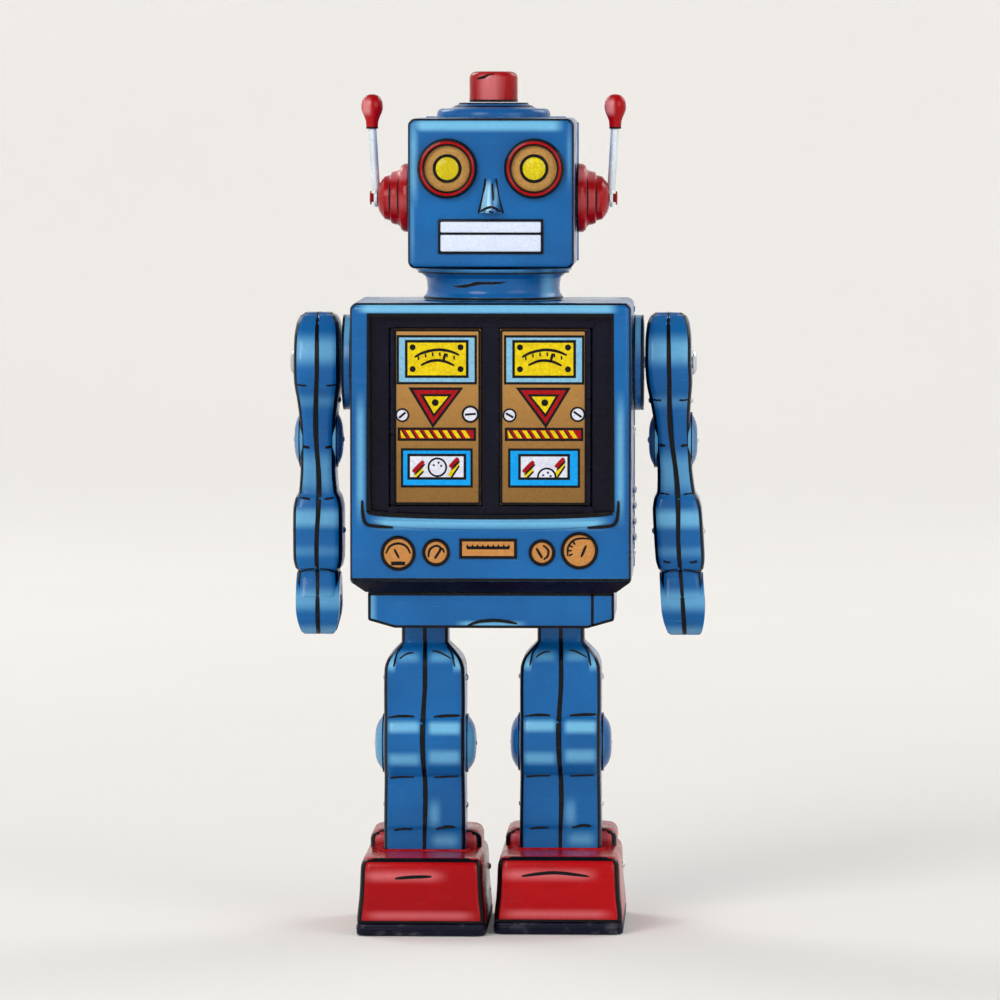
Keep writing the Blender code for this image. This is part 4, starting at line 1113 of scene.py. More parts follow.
def build_eyes():
    for _, label in SIDES:
        low, high = box("eye_bezel_" + label)
        spot = ((low.x + high.x) / 2, high.y, (low.z + high.z) / 2)
        build_eye_ring(label, low, high, spot)
        lens_low, lens_high = box("eye_lens_" + label)
        wide = (lens_high.x - lens_low.x) / 2 + 0.2
        deep = lens_high.y - lens_low.y
        tan = scaled([(0, 0), (1, 0), (1, -0.40), (0.80, -0.50), (0.60, -0.56), (0.45, -0.60), (0, -0.60)],
                     wide, deep)
        black = [(0.47 * wide, -0.3), (0.62 * wide, -0.3)]
        black += scaled([(0.62, -0.70), (0.58, -0.80), (0.52, -0.78), (0.47, -0.62)], wide, deep)
        centre = scaled([(0, -1), (0.16, -0.98), (0.32, -0.90), (0.45, -0.76), (0.52, -0.62)], wide, deep)
        centre += [(0.52 * wide, -0.3), (0, -0.3)]
        parts = [(lathe(tan, "Y", spot, 72), "eye_tan"), (lathe(black, "Y", spot, 72, True), "ink"),
                 (lathe(centre, "Y", spot, 72), "lens")]
        for share in (0.74, 0.88):
            groove = (spot[0], spot[1] - 0.47 * deep * (1.25 - 0.28 * share), spot[2])
            parts.append(hoop("Y", groove, share * wide, 0.22, (0, -1), 60, finish="eye_tan",
                              lift=0.09, root=0.4))
        piece("eye_disc_" + label, "torso", parts, ["eye_lens_" + label])


def build_mouth():
    low, high = box("mouth_plate")
    face = high.y
    split = low.z + 0.585 * (high.z - low.z)
    border = rounded_box((low.x, low.y + 0.15, low.z), (high.x, face, high.z), 0.35, ("+Y",), 3)
    parts = [(border, "ink")]
    for z0, z1 in ((low.z + 0.85, split - 0.4), (split + 0.4, high.z - 0.85)):
        bar = rounded_box((low.x + 0.85, low.y - 0.45, z0), (high.x - 0.85, face - 0.2, z1), 0.45, ("+Y",), 3)
        parts.append((bar, "mouth"))
    piece("mouth_grille", "torso", parts, ["mouth_plate"])


# Ribbed cone from its foot out, as (share of the radius, share of the length).
EAR_PROFILE = ((1, 0), (1, 0.06), (0.985, 0.16), (0.93, 0.22), (0.84, 0.245), (0.79, 0.30), (0.775, 0.38),
               (0.74, 0.46), (0.66, 0.49), (0.645, 0.55), (0.62, 0.63), (0.52, 0.70), (0.40, 0.765),
               (0.30, 0.79), (0.126, 0.79), (0.126, 0.95), (0.20, 0.955), (0.20, 0.985), (0.15, 1), (0, 1))
AERIAL_TIP = ((0, 0.05), (1.3, 0.04), (1.55, 0), (1.95, 0.02), (2.05, 0.10), (2.15, 0.22), (2.6, 0.33),
              (3.2, 0.44), (3.65, 0.56), (3.7, 0.66), (3.5, 0.78), (2.9, 0.89), (2.0, 0.96), (1.0, 0.99),
              (0, 1))
ROD_RADIUS = 1.4


def build_ears():
    for side, label in SIDES:
        low, high = box("ear_" + label)
        root = low.x if side > 0 else high.x
        wide = (high.z - low.z) / 2
        reach = side * (high.x - low.x)
        y = (low.y + high.y) / 2
        z = (low.z + high.z) / 2
        light_from, light_to = sorted((root + 0.02 * reach, root + 0.55 * reach))
        # Painted highlights: a band along the top of the cone near its foot and a faint one across its middle.
        painted_highlights = [({"X": (light_from, light_to, 1.5), "Z": (z + 0.55 * wide, z + 0.9 * wide, 1.6)}, 0.75),
                   ({"Z": (z - 0.3 * wide, z + 0.1 * wide, 1.6), "X": (light_from, light_to, 1.2)}, 0.25)]
        red = plastic("ear_plastic_" + label, RED, RED_DEEP, RED_SHINE, painted_highlights)
        cone = lathe([(0, side * 0.1)] + scaled(EAR_PROFILE, wide, reach), "X", (root, y, z), 96)
        parts = [(cone, red)]
        for share, radius in ((0.262, 0.815), (0.475, 0.70)):
            tilt = (radius * wide, side * 0.5 * wide)
            parts.append(hoop("X", (root + share * reach, y, z), radius * wide, 1.15, tilt, 24, (138, 222),
                              lift=0.10, root=0.5, taper=0.7))
        parts.append(hoop("X", (root + side * 0.35, y, z), wide, 0.7, lift=0.05))
        piece("ear_cone_" + label, "torso", parts, ["ear_" + label])
        build_antenna(side, label, y, z)


def build_antenna(side, label, y, pivot):
    body = "antenna_" + label
    low, high = box("antenna_rod_" + label)
    foot_x = (low.x if side > 0 else high.x) + side * 0.6
    eyelet = [(1.8, -0.45), (2.1, -0.6), (2.9, -0.6), (3.2, -0.35), (3.2, 0.35), (2.9, 0.6), (2.1, 0.6),
              (1.8, 0.45)]
    tip_low, tip_high = box("antenna_tip_" + label)
    tip_x = (tip_low.x + tip_high.x) / 2
    foot_z = pivot + 2.6
    rings = []
    for share in (0, 0.02, 0.3, 0.6, 0.9, 0.98, 1):
        radius = ROD_RADIUS if 0 < share < 1 else ROD_RADIUS - 0.2
        x = foot_x + (tip_x - foot_x) * share
        z = foot_z + (tip_low.z + 1.8 - foot_z) * share
        rings.append([(x + a, y + b, z) for a, b in arc(0, 0, radius, 0, 345, 23)])
    eye = lathe(eyelet, "X", (foot_x, y, pivot), 40, True)
    piece("antenna_stem_" + label, body, [(loft(rings), "rod"), (eye, "rod")], ["antenna_rod_" + label])
    tall = tip_high.z - tip_low.z
    # Painted highlight on the upper left of the bulb's front, in a paler red.
    painted_highlights = [({"X": (tip_x - 3.2, tip_x - 0.4, 0.8),
                 "Z": (tip_low.z + 0.42 * tall, tip_low.z + 0.85 * tall, 1.2), "Y": (-20, 1, 1)}, 0.65)]
    red = plastic("tip_plastic_" + label, RED, RED_DEEP, srgb(226, 150, 154), painted_highlights)
    piece("antenna_bulb_" + label, body,
          [(lathe(scaled(AERIAL_TIP, 1, tall), "Z", (tip_x, y, tip_low.z), 48), red),
           hoop("Z", (tip_x, y, tip_low.z + 0.35), 2.0, 0.6, steps=36, lift=0.06)], ["antenna_tip_" + label])


def build_neck():
    low, high = box("neck")
    wide = high.x
    tall = high.z - low.z
    profile = scaled([(0.80, 1), (1, 1), (0.995, 0.95), (0.97, 0.90), (0.91, 0.80), (0.865, 0.70), (0.85, 0.55),
                      (0.845, 0.32), (0.855, 0.20), (0.875, 0.14), (0.885, 0.05), (0.885, 0), (0.80, 0)],
                     wide, tall, low.z)
    # Painted highlights: an upright band at the right of the front and a faint ring round the top.
    blue = blue_enamel("neck_enamel", [({"X": (17, 20.5, 1.6), "Y": (-30, 0, 2)}, 0.7),
                                       ({"Z": (high.z - 1.6, high.z, 0.5)}, 0.25)])
    rises = ((-13, 4.9), (-9, 5.0), (-4, 6.1), (2, 6.3), (7, 7.4), (13, 7.9))
    crease = curve([(x, low.z + rise) for x, rise in rises], 6)

    def on_neck(x, z):
        return -math.sqrt((0.85 * wide) ** 2 - x * x) - 0.05

    parts = [(lathe(profile, "Z", segments=96, ring=True), blue),
             ink_line(crease, on_neck, 1.15, lift=0.10, root=0.9, taper=0.7)]
    for share, radius in ((0.885, 0.965), (0.06, 0.888)):
        parts.append(hoop("Z", (0, 0, low.z + share * tall), radius * wide, 0.8, steps=96, root=0.5))
    piece("neck_ring", "torso", parts, ["neck"])


# ---------------------------------------------------------------- limbs

def eased(levels, steps=5):
    """Sections between the given ones, smooth but never beyond their neighbours."""
    ends = [levels[0]] + list(levels) + [levels[-1]]
    result = []
    for a, b, c, d in zip(ends, ends[1:], ends[2:], ends[3:]):
        for k in range(steps):
            t = k / steps
            row = [b[0] + (c[0] - b[0]) * t]
            for p, q, r, s in zip(a[1:], b[1:], c[1:], d[1:]):
                value = 0.5 * (2 * q + (r - p) * t + (2 * p - 5 * q + 4 * r - s) * t * t
                               + (3 * q - p - 3 * r + s) * t ** 3)
                row.append(min(max(value, min(q, r)), max(q, r)))
            result.append(tuple(row))
    result.append(tuple(levels[-1]))
    return result


class Limb:
    """Pressed limb made of two halves: sections are (z, half width, front, back) from top to bottom."""

    def __init__(self, x, y, levels, corner, slope=0.0, pivot=0.0):
        self.x = x
        self.y = y
        self.levels = eased(levels)
        self.corner = corner
        self.slope = slope
        self.pivot = pivot

    def section(self, z):
        for high, low in zip(self.levels, self.levels[1:]):
            if low[0] <= z <= high[0]:
                share = (high[0] - z) / (high[0] - low[0])
                return [a + (b - a) * share for a, b in zip(high[1:], low[1:])]
        return list(self.levels[-1 if z < self.levels[-1][0] else 0][1:])

    def offset(self, z):
        return self.x + self.slope * max(0.0, self.pivot - z)

    def radius(self, width, front, back):
        return min(self.corner, 0.6 * width, 0.45 * (back - front))

    def half(self, side):
        """One pressed half, from just beside the seam outwards."""
        rings = []
        for z, width, front, back in self.levels:
            radius = self.radius(width, front, back)
            outline = [(0.2, front + 0.45), (0.55, front)]
            outline += arc(width - radius, front + radius, radius, 270, 360, 7)
            outline += arc(width - radius, back - radius, radius, 0, 90, 7)
            outline += [(0.55, back), (0.2, back - 0.45)]
            rings.append([(self.offset(z) + side * x, self.y + y, z) for x, y in outline])
        bm = loft(rings)
        bm.faces.ensure_lookup_table()
        for i in range(len(bm.faces) - 2):
            if i % len(outline) in (5, 6, 7, 11, 12, 13):
                bm.faces[i].material_index = 1
        return bm

    def depth(self, x, z, behind=False):
        width, front, back = self.section(z)
        radius = self.radius(width, front, back)
        beyond = min(max(0.0, abs(x - self.offset(z)) - (width - radius)), radius)
        dip = radius - math.sqrt(radius * radius - beyond * beyond)
        return self.y + (back - dip if behind else front + dip)

    def line(self, points, width=1.1, steps=6, **style):
        """Ink on the front; x is measured from the limb's own middle."""
        path = [(self.offset(z) + x, z) for x, z in curve(points, steps)]
        return front_line(path, self.depth, width, root=0.6, **style), "ink"

    def seam(self, top, bottom, sway, behind=False):
        """Dark, slightly wavy seam down the front, or straight down the back."""
        spots = []
        count = 48
        for i in range(count + 1):
            z = top + (bottom - top) * i / count
            x = self.offset(z)
            if not behind:
                x += sway * math.sin(0.13 * (top - z)) * math.sin(math.pi * i / count)
            spots.append((x, self.depth(x, z, behind), z))
        out = (0, 1, 0) if behind else (0, -1, 0)
        return ribbon(spots, [out] * len(spots), 1.55, 0.12, 0.9, 0.25), "ink"


def joint_dome(at, side, radius, height, finish):
    """Round pressed boss on the side of a limb with a stepped rim, an ink line round it and a rivet."""
    profile = [(0, 0.84), (0.16, 0.84), (0.22, 0.95), (0.34, 0.99), (0.50, 0.93), (0.66, 0.79), (0.80, 0.57),
               (0.90, 0.36), (0.955, 0.24), (1.0, 0.22), (1.0, -0.3), (0, -0.3)]
    spot = Vector(at)
    x, y, z = spot
    return [(lathe(scaled(profile, radius, side * height), "X", spot, 56), finish),
            hoop("X", (x + side * 0.24 * height, y, z), 0.975 * radius, 0.7, (0, side), 60, root=0.3),
            rivet((x + side * 0.84 * height, y, z), (side, 0, 0), 0.15 * radius)]


LEG_SECTIONS = ((96.5, 8.0, -8.0, 8.0), (93.6, 10.6, -10.2, 10.2), (91.0, 12.6, -12.2, 12.2),
                (88.0, 13.6, -13.0, 13.0), (80.0, 13.8, -12.9, 13.0), (73.0, 13.8, -12.5, 13.0),
                (71.2, 13.7, -12.6, 12.8), (69.4, 13.7, -13.9, 12.7), (65.0, 13.7, -14.8, 12.5),
                (60.0, 13.7, -14.9, 12.3), (55.0, 13.7, -14.2, 12.0), (52.2, 13.7, -12.8, 11.9),
                (51.0, 13.7, -11.9, 11.8), (44.0, 13.8, -11.7, 11.7), (34.5, 13.9, -12.1, 11.7),
                (32.5, 13.9, -11.6, 11.6), (22.0, 13.9, -11.8, 11.6))
ARM_SECTIONS = ((208.3, 4.6, -4.6, 4.6), (207.2, 6.1, -7.4, 7.4), (205.0, 7.1, -10.4, 10.4),
                (200.2, 7.7, -14.3, 14.3), (191.3, 7.8, -16.6, 16.6), (184.6, 7.7, -15.4, 15.4),
                (178.0, 6.8, -12.2, 12.2), (171.0, 6.1, -10.6, 10.6), (163.5, 5.9, -10.1, 10.1),
                (155.0, 5.9, -10.2, 10.0), (147.4, 6.5, -9.8, 9.8), (145.4, 7.6, -10.8, 10.8),
                (142.0, 8.3, -11.6, 11.2), (133.0, 8.4, -11.9, 11.4), (124.5, 8.3, -11.6, 11.4),
                (121.6, 7.7, -10.4, 10.2), (120.4, 6.9, -8.8, 8.6), (117.0, 7.1, -9.2, 9.0),
                (112.0, 7.4, -10.8, 10.8))


KNEE_Z = 61.6
# Painted highlights: heights, then distances from the limb's middle, each with its softness, then the strength.
LEG_PAINTED_HIGHLIGHTS = (((66.5, 70.0, 1.2), (-12, -1.8, 1.2), 0.80), ((66.0, 69.8, 1.2), (1.8, 12, 1.2), 0.85),
              ((55.5, 59.0, 1.4), (-12, -1.8, 1.4), 0.55), ((56.0, 60.0, 1.4), (1.8, 12, 1.4), 0.60),
              ((90.5, 93.2, 1.3), (-9, -2, 1.8), 0.55), ((90.5, 93.2, 1.3), (2, 9, 1.8), 0.60),
              ((87.5, 94.0, 1.6), (-12.4, -9.9, 0.5), 0.75), ((87.5, 94.0, 1.6), (9.9, 12.4, 0.5), 0.75),
              ((34.5, 42, 3.0), (1.8, 5.0, 1.5), 0.42), ((27.5, 31, 2.0), (3, 11, 2.2), 0.45))
# Short ink strokes: width, taper, and points as (distance from the limb's middle, height).
LEG_DASHES = ((1.0, 0.6, ((-8.3, 91.2), (-6.0, 92.6), (-3.5, 93.1))),
              (1.0, 0.6, ((2.6, 93.7), (5.4, 93.0), (9.0, 91.3))),
              (0.8, 0.5, ((-7.4, 95.2), (-9.2, 92.8), (-10.4, 88.6))),
              (0.8, 0.5, ((7.4, 95.2), (9.2, 92.8), (10.4, 88.6))),
              (1.05, 0.5, ((-12.2, 71.1), (-8, 71.7), (-3.4, 71.6))),
              (1.05, 0.5, ((3.2, 71.5), (7.5, 71.9), (12.2, 72.0))),
              (1.05, 0.5, ((-11.6, 50.6), (-8, 51.2), (-3.4, 51.1))),
              (1.05, 0.5, ((3.2, 51.0), (7.5, 51.4), (11.6, 51.5))),
              (1.0, 0.6, ((-10.4, 32.8), (-7.5, 33.4), (-3.9, 33.3))),
              (1.0, 0.6, ((3.9, 33.3), (7.5, 34.1), (10.6, 33.9))))


def build_leg(side, label):
    body = "leg_" + label
    top = box("leg_outer_" + label)[1].z
    sole_low, sole_high = box("foot_sole_" + label)
    x = (sole_low.x + sole_high.x) / 2
    y = (sole_low.y + sole_high.y) / 2 + 5.0
    limb = Limb(x, y, ((top, 8.0, -8.0, 8.0),) + LEG_SECTIONS, 3.2)
    # Painted highlights on the front of the leg, from the table above.
    painted_highlights = [({"Z": rise, "X": (x + start, x + end, soft), "Y": (-40, y, 2)}, light)
               for rise, (start, end, soft), light in LEG_PAINTED_HIGHLIGHTS]
    blue = blue_enamel("leg_enamel_" + label, painted_highlights)
    for name, facing in (("outer", side), ("inner", -side)):
        parts = [(limb.half(facing), blue, "ink")]
        parts += joint_dome((x + facing * 13.6, y - 0.5, KNEE_Z), facing, 9.9, 3.6, "dome")
        for z in (84.0, 40.5):
            parts.append(rivet((x + facing * 13.8, y, z), (facing, 0, 0), 1.3))
        piece(f"leg_tin_{name}_{label}", body, parts, [f"leg_{name}_{label}"])
    lines = [limb.seam(top - 6, 26.2, 0.65), limb.seam(top - 6, 32.3, 0, True)]
    lines += [limb.line(points, width, taper=taper) for width, taper, points in LEG_DASHES]
    piece("leg_lines_" + label, body, lines)
    build_foot(side, label, x, y)
    keep("leg_hanger_" + label, "steel", 0.15)


FOOT_CORNER = 3.4


def foot_block(x, rows):
    """Solid of rounded rectangles, as (z, half width, front, back)."""
    return loft([[(x + a, b, c) for a, b, c in rectangle_ring(half, front, back, FOOT_CORNER, z)]
                 for z, half, front, back in rows])


def build_foot(side, label, x, leg_y):
    body = "leg_" + label
    low, high = box("foot_shell_" + label)
    front = low.y
    back = high.y
    base = low.z
    sections = ((base, 21.7, -0.5), (6.0, 21.65, -0.4), (8.5, 21.4, -0.1), (12.0, 21.0, 0.3),
                (17.0, 20.7, 0.7), (21.5, 20.55, 1.0), (23.3, 20.4, 1.3), (24.6, 20.0, 1.8), (25.4, 19.4, 2.5),
                (25.85, 18.6, 3.4), (26.0, 17.4, 4.8))
    toe = foot_block(x, [(z, half, front + setback, back - max(0.0, 20.5 - half))
                         for z, half, setback in sections])
    rounding = ((14, 0), (3.2, 0), (1.9, 0.35), (0.9, 1.0), (0.25, 2.1), (0, 3.4))
    cuff = foot_block(x, [(high.z - drop, 19 - inset, leg_y - 2 + inset, back - 0.5 - inset)
                          for drop, inset in rounding])
    # Painted highlights: a band under the top of the toe's front, one along its bottom and one on top of the
    # cuff; the toe band ends sooner on the left foot.
    light_end = 6 if side < 0 else 11
    near_front = (front - 2, front + 6, 2)
    painted_highlights = [({"Z": (18.6, 21.4, 1.6), "X": (x - 18, x + light_end, 4), "Y": near_front}, 0.85),
               ({"Z": (base + 1.4, base + 3.6, 1.2), "X": (x - 17, x + 16, 4), "Y": near_front}, 0.70),
               ({"Z": (high.z - 4, high.z - 1, 1.2), "Y": (leg_y - 4, leg_y + 3, 1.5)}, 0.55)]
    red = enamel("foot_enamel_" + label, RED, RED_DEEP, RED_LIGHT, painted_highlights, 0.1, 0.1)
    parts = [(ink_rims(block, 0.34, 0.80), red, "ink") for block in (toe, cuff)]
    rim = [(x + across, leg_y - ahead, 26.0)
           for across, ahead in ((-14.6, 2), (-14.6, 12.9), (14.6, 12.9), (14.6, 2))]
    for a, b in zip(rim, rim[1:]):
        spots = [tuple(Vector(a).lerp(Vector(b), t / 8)) for t in range(9)]
        parts.append(bead(spots, (0, 0, 1), 1.5, 0.5, red))
    for z in (9.0, 17.0):
        for end in (-1, 1):
            parts.append(rivet((x + end * 20.8, back - 7, z), (end, 0, 0), 1.2))
    piece("foot_tin_" + label, body, parts, ["foot_shell_" + label])
    dash = ((-12.4, 19.5), (-1.5, 20.7), (10.4, 19.5))
    if side < 0:
        dash = ((-8.8, 19.2), (-3, 19.7), (3.6, 19.9))
    edge = [(x - 20.9, base + 0.35), (x + 20.9, base + 0.35)]
    lines = [ink_line([(x + a, z) for a, z in curve(dash, 6)], front + 0.9, 1.15, root=0.6, taper=0.6),
             ink_line(edge, front - 0.45, 0.8)]
    piece("foot_lines_" + label, body, lines)

    sole_low, sole_high = box("foot_sole_" + label)
    half = (sole_high.x - sole_low.x) / 2
    slab = foot_block(x, [(z, half - inset, sole_low.y + inset, sole_high.y - inset) for z, inset in
                          ((0, 0.5), (0.25, 0.15), (0.6, 0), (3.2, 0), (3.7, 0.15), (sole_high.z, 0.6))])
    loop = [(x + a, b, c) for a, b, c in rectangle_ring(half, sole_low.y, sole_high.y, FOOT_CORNER, 2.2)]
    loop.append(loop[0])
    centre_y = (sole_low.y + sole_high.y) / 2
    outward = [Vector((a - x, b - centre_y, 0)) for a, b, _ in loop]
    lip = ribbon(loop, outward, 0.9, 0.18, 0.3, 0.0, ROUND)
    piece("foot_sole_pad_" + label, body, [(slab, "sole"), (lip, "sole")],
          ["foot_sole_" + label])


HAND_REACH = 10.9
# Painted highlight bands down the arm: from, to, softness, strength.
ARM_PAINTED_HIGHLIGHTS = ((192, 200, 3.0, 0.62), (177, 180, 2.0, 0.30), (148.5, 160, 3.5, 0.45), (136, 141.5, 1.8, 0.70),
              (126, 129, 1.4, 0.25), (108, 114, 2.2, 0.55), (98.5, 101.5, 1.6, 0.50))
# Ink strokes across each arm: height, then where they start and end beside the seam.
ARM_DASHES = {-1: ((184.2, 3.4, 6.6), (162.8, 2.6, 5.0), (145.3, 2.4, 6.0)),
              1: ((179.3, 3.0, 6.4), (163.6, 2.6, 5.0), (147.0, 2.4, 5.8), (124.2, 3.2, 5.8))}


def claw(limb, centre_z, facing):
    """Half of the C-shaped hand: a thick hook seen from the side, open at the bottom."""
    hollow = 5.5
    gap = 3.6
    outer_start = math.degrees(math.asin(gap / HAND_REACH)) - 90
    inner_start = math.degrees(math.asin(gap / hollow)) - 90
    outline = arc(0, 0, HAND_REACH, outer_start, 180 - outer_start, 40)
    outline += arc(0, 0, hollow, 180 - inner_start, inner_start, 28)
    hook = prism(outline, "X", 0.2, 7.4, 1.3)
    for vert in hook.verts:
        share = max(0.0, -vert.co.z) / HAND_REACH
        across = vert.co.x * (1 - 0.30 * share * share)
        z = vert.co.z + centre_z
        vert.co = (limb.offset(z) + facing * across, vert.co.y + limb.y, z)
    return ink_rims(hook, 0.15, 0.85, "+X" if facing > 0 else "-X")


def arm_ink(limb, side, top, hand_z):
    """Seams, hand line and short strokes of one arm."""
    lines = [limb.seam(top - 0.4, 112.5, 0.7), limb.seam(top - 0.4, 112.5, 0, True)]
    hook = []
    for turn in range(160, 252, 4):
        angle = math.radians(turn)
        hook.append((limb.y + HAND_REACH * math.cos(angle), hand_z + HAND_REACH * math.sin(angle)))
    spots = [(limb.offset(z), y, z) for y, z in hook]
    outward = [(0, y - limb.y, z - hand_z) for y, z in hook]
    lines.append((ribbon(spots, outward, 1.5, 0.12, 0.9, 0.2), "ink"))
    crown = [(limb.offset(top - drop), limb.y + y, top - drop)
             for y, drop in ((-4.4, 0.15), (0, 0.1), (4.4, 0.15))]
    lines.append((ribbon(crown, [(0, 0, 1)] * 3, 1.4, 0.12, 0.6), "ink"))
    for z, start, end in ARM_DASHES[side]:
        lines.append(limb.line([(-end, z + 0.2), (-start, z - 0.2)], 1.0, 3, taper=0.4))
        lines.append(limb.line([(start, z - 0.2), (end, z + 0.2)], 1.0, 3, taper=0.4))
    lines.append(limb.line([(-6.8, 119.9), (-4, 121.3), (-0.9, 121.6)], 1.1, taper=0.4))
    lines.append(limb.line([(0.9, 121.6), (4, 121.3), (6.8, 119.9)], 1.1, taper=0.4))
    return lines


def shoulder_cup(side, label, inner, outer, radius, spot, top):
    """Pressed disc between arm and torso, with two ink rims."""
    profile = [(radius, inner), (radius, outer - side * 1.3), (radius - 0.3, outer - side * 0.6),
               (radius - 0.9, outer - side * 0.15), (radius - 1.6, outer), (2.4, outer),
               (2.4, outer - side * 0.6), (radius - 1.9, outer - side * 0.6), (radius - 0.7, outer - side * 1.3),
               (radius - 0.6, inner)]
    y, pivot = spot[1:]
    # Painted highlight on the upper front of the disc.
    blue = blue_enamel("shoulder_enamel_" + label, [({"Z": (pivot + 5, top, 6), "Y": (-30, 0, 3)}, 0.6)])
    rims = [hoop("X", (level, y, pivot), radius - 0.05, 0.75, lift=0.07)
            for level in (inner + side * 0.4, outer - side * 0.55)]
    piece("shoulder_cup_" + label, "torso",
          [(lathe(profile, "X", spot, 96, True), blue)] + rims, ["shoulder_disc_" + label])


def shoulder_rivet(side, label, start, end, spot):
    """Axle with a washer inside the torso and a hollow rivet head outside the arm."""
    washer = [(0, 0), (3.6, 0), (4.0, 0.3), (4.0, 1.4), (2.0, 1.4)]
    head = [(2.0, 1.5), (4.1, 1.5), (4.2, 1.25), (3.9, 0.75), (3.2, 0.30), (2.2, 0.06), (1.2, 0.02), (1.0, 0.25),
            (0, 0.3)]
    profile = [(r, start + side * x) for r, x in washer] + [(r, end - side * x) for r, x in head]
    piece("shoulder_rivet_" + label, "arm_" + label, [(lathe(profile, "X", spot, 48), "steel")],
          ["shoulder_axle_" + label])


def build_arm(side, label):
    body = "arm_" + label
    low, high = box("arm_outer_" + label)
    axle_low, axle_high = box("shoulder_axle_" + label)
    pivot = (axle_low.z + axle_high.z) / 2
    disc_low, disc_high = box("shoulder_disc_" + label)
    inner, outer = (disc_low.x, disc_high.x) if side > 0 else (disc_high.x, disc_low.x)
    slope = 0.062 if side > 0 else 0.0
    lift = high.z - 208.4
    levels = [(z + lift, a, b, c) for z, a, b, c in ARM_SECTIONS]
    limb = Limb(outer + side * 8.3, (disc_low.y + disc_high.y) / 2, levels, 3.0, slope, pivot)
    # Painted highlight bands across the front of the arm.
    painted_highlights = [({"Z": (a, b, soft), "Y": (-40, 0, 3)}, strength) for a, b, soft, strength in ARM_PAINTED_HIGHLIGHTS]
    blue = blue_enamel("arm_enamel_" + label, painted_highlights)
    hand_z = low.z + 11.4
    elbow_z = pivot - 26.3
    for name, facing in (("outer", side), ("inner", -side)):
        parts = [(limb.half(facing), blue, "ink"), (claw(limb, hand_z, facing), blue, "ink")]
        dome_x = limb.offset(elbow_z) + facing * 5.85
        parts += joint_dome((dome_x, limb.y, elbow_z), facing, 9.4, 2.4, "dome")
        for z in (134.0, 178.5):
            width = limb.section(z)[0]
            parts.append(rivet((limb.offset(z) + facing * width, limb.y, z), (facing, 0, 0), 1.2))
        piece(f"arm_tin_{name}_{label}", body, parts, [f"arm_{name}_{label}"])
    piece("arm_lines_" + label, body, arm_ink(limb, side, high.z, hand_z))

    spot = (0, limb.y, pivot)
    shoulder_cup(side, label, inner, outer, (disc_high.z - disc_low.z) / 2, spot, high.z)
    start, end = (axle_low.x, axle_high.x) if side > 0 else (axle_high.x, axle_low.x)
    shoulder_rivet(side, label, start, end, spot)


# ---------------------------------------------------------------- motor and key

KEY_EYE_X = 8.6


def build_motor():
    for node in ("motor_front_plate", "motor_back_plate", "guide_rod", "crankshaft", "second_arbor",
                 "winding_arbor", "click", "motor_pillar_a", "motor_pillar_b", "motor_pillar_c"):
        keep(node, "steel", 0.12)
    keep("mainspring", "tin")
    for node in ("second_wheel", "crown_wheel", "great_wheel", "ratchet_wheel", "governor"):
        keep(node, "brass", 0.08)
    keep("stop_lever", "steel", 0.3)
    build_key()


def build_key():
    low, high = box("winding_key")
    z = (low.z + high.z) / 2
    bow_y = high.y - 6.0
    bow = arc(-8.2, bow_y, 6.0, 60, 300, 36) + arc(8.2, bow_y, 6.0, -120, 120, 36)
    wing = prism(bow, "Z", z - 0.8, z + 0.8, 0.45)
    wing = cut(wing, *[bore("Z", (side * KEY_EYE_X, bow_y, z), 3.4, 3, 40) for side in (-1, 1)])
    barrel = [(0, low.y + 9), (2.3, low.y + 9), (2.3, low.y + 0.3), (2.6, low.y), (3.1, low.y),
              (3.3, low.y + 0.3), (3.3, low.y + 2.2), (2.9, low.y + 2.5), (2.9, low.y + 3.0), (3.3, low.y + 3.3),
              (3.3, high.y - 7.0), (3.0, high.y - 6.0), (1.6, high.y - 5.4), (0, high.y - 5.3)]
    parts = [(wing, "steel"), (lathe(barrel, "Y", (0, 0, z), 48), "steel")]
    for side in (-1, 1):
        for out in (-1, 1):
            parts.append(hoop("Z", (side * KEY_EYE_X, bow_y, z + out * 0.8), 4.3, 0.9, (0, out), 48,
                              finish="steel", lift=0.25, root=0.2, section=ROUND))
    piece("winding_key_bow", "winder", parts, ["winding_key"])


# ---------------------------------------------------------------- stage

def area_light(name, at, target, size, power, colour=(1, 1, 1)):
    data = bpy.data.lights.new(name, "AREA")
    data.shape = "DISK"
    data.size = size
    data.energy = power
    data.color = colour
    lamp = bpy.data.objects.new(name, data)
    bpy.context.scene.collection.objects.link(lamp)
    lamp.location = at
    lamp.rotation_euler = (Vector(target) - Vector(at)).to_track_quat("-Z", "Y").to_euler()


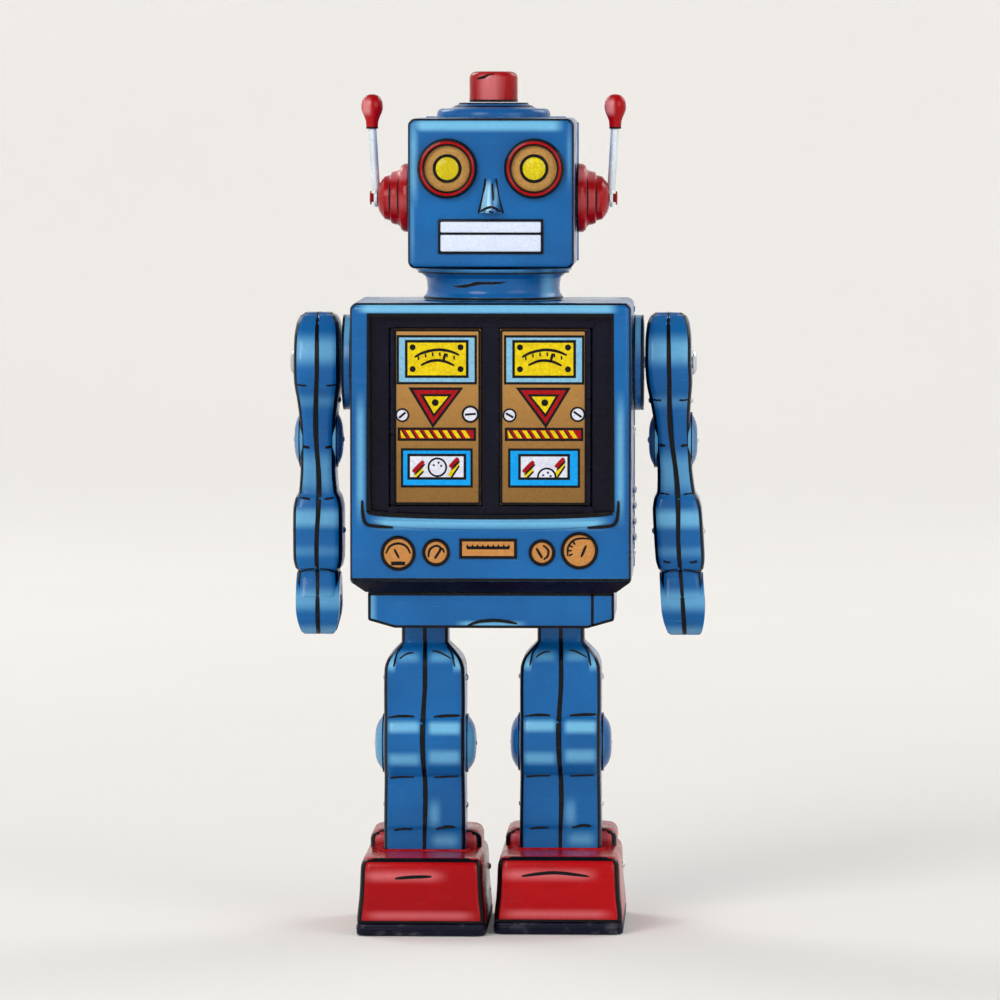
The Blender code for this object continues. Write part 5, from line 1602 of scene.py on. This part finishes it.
def build_stage():
    """Pale floor that rises far off into a round wall and glows more further out, soft lights above every camera
    height.
    """
    wall = [(0.001, 0.0), (2.9, 0.0)]
    for t in range(1, 13):
        turn = t * math.pi / 24
        wall.append((2.9 + 0.9 * math.sin(turn), 0.9 - 0.9 * math.cos(turn)))
    wall.append((3.8, 3.2))
    bm = lathe([(r, z - 0.0002) for r, z in wall], "Z", segments=96)
    bmesh.ops.recalc_face_normals(bm, faces=bm.faces)
    bmesh.ops.reverse_faces(bm, faces=bm.faces)
    mesh = bpy.data.meshes.new("floor")
    bm.to_mesh(mesh)
    bm.free()
    mesh.shade_smooth()
    floor = bpy.data.objects.new("floor", mesh)
    bpy.context.scene.collection.objects.link(floor)
    material, tree, shader, place = blank("floor_paper", 0.9, specular=0.1)
    shade = noise(tree, place, 3, 2)
    tree.links.new(blend(tree, shade, srgb(233, 231, 228), srgb(238, 236, 233)), shader.inputs["Base Color"])
    # Painted light: the floor paper glows, faintly near the robot and more strongly far off, brightening the far
    # floor and wall.
    distance = tree.nodes.new("ShaderNodeVectorMath")
    distance.operation = "LENGTH"
    tree.links.new(place, distance.inputs[0])
    shader.inputs["Emission Color"].default_value = (*srgb(244, 242, 240), 1.0)
    far_floor_glow = ramp(tree, distance.outputs["Value"], 0.3, 3.4, 0.04, 0.30)
    tree.links.new(far_floor_glow, shader.inputs["Emission Strength"])
    mesh.materials.append(material)
    floor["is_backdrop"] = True

    world = bpy.data.worlds.new("studio")
    bpy.context.scene.world = world
    world.use_nodes = True
    background = world.node_tree.nodes["Background"]
    background.inputs["Color"].default_value = (0.96, 0.98, 1.0, 1.0)
    background.inputs["Strength"].default_value = 0.28
    chest = (0, 0, CAD_HIGH.z * 0.5)
    area_light("key_light", (-0.9, -1.7, 1.15), chest, 1.1, 21, (1.0, 0.985, 0.96))
    area_light("fill_light", (1.5, -1.5, 0.9), chest, 1.3, 9.5, (0.96, 0.98, 1.0))
    area_light("back_left_light", (-1.3, 1.4, 1.5), chest, 1.1, 13)
    area_light("back_right_light", (1.4, 1.3, 1.4), chest, 1.1, 10)


def build_camera():
    low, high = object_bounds()
    target = Vector(((low.x + high.x) / 2 + 0.0005, (low.y + high.y) / 2, (low.z + high.z) / 2 - 0.001))
    azimuth = math.radians(2.0)
    elevation = math.radians(3.5)
    distance = 2.4
    fill = 0.85
    data = bpy.data.cameras.new("camera")
    data.sensor_width = 36.0
    data.lens = data.sensor_width * distance * fill / (high.z - low.z)
    camera = bpy.data.objects.new("camera", data)
    bpy.context.scene.collection.objects.link(camera)
    aim = Vector((math.sin(azimuth) * math.cos(elevation), -math.cos(azimuth) * math.cos(elevation),
                  math.sin(elevation)))
    camera.location = target + aim * distance
    camera.rotation_euler = (-aim).to_track_quat("-Z", "Y").to_euler()
    bpy.context.scene.camera = camera


def main():
    bpy.context.scene.view_settings.view_transform = "Standard"
    make_materials()
    build_torso()
    build_back()
    build_waist()
    build_chest()
    build_neck()
    build_head()
    for side, label in SIDES:
        build_leg(side, label)
        build_arm(side, label)
    build_motor()
    build_stage()
    build_camera()


main()
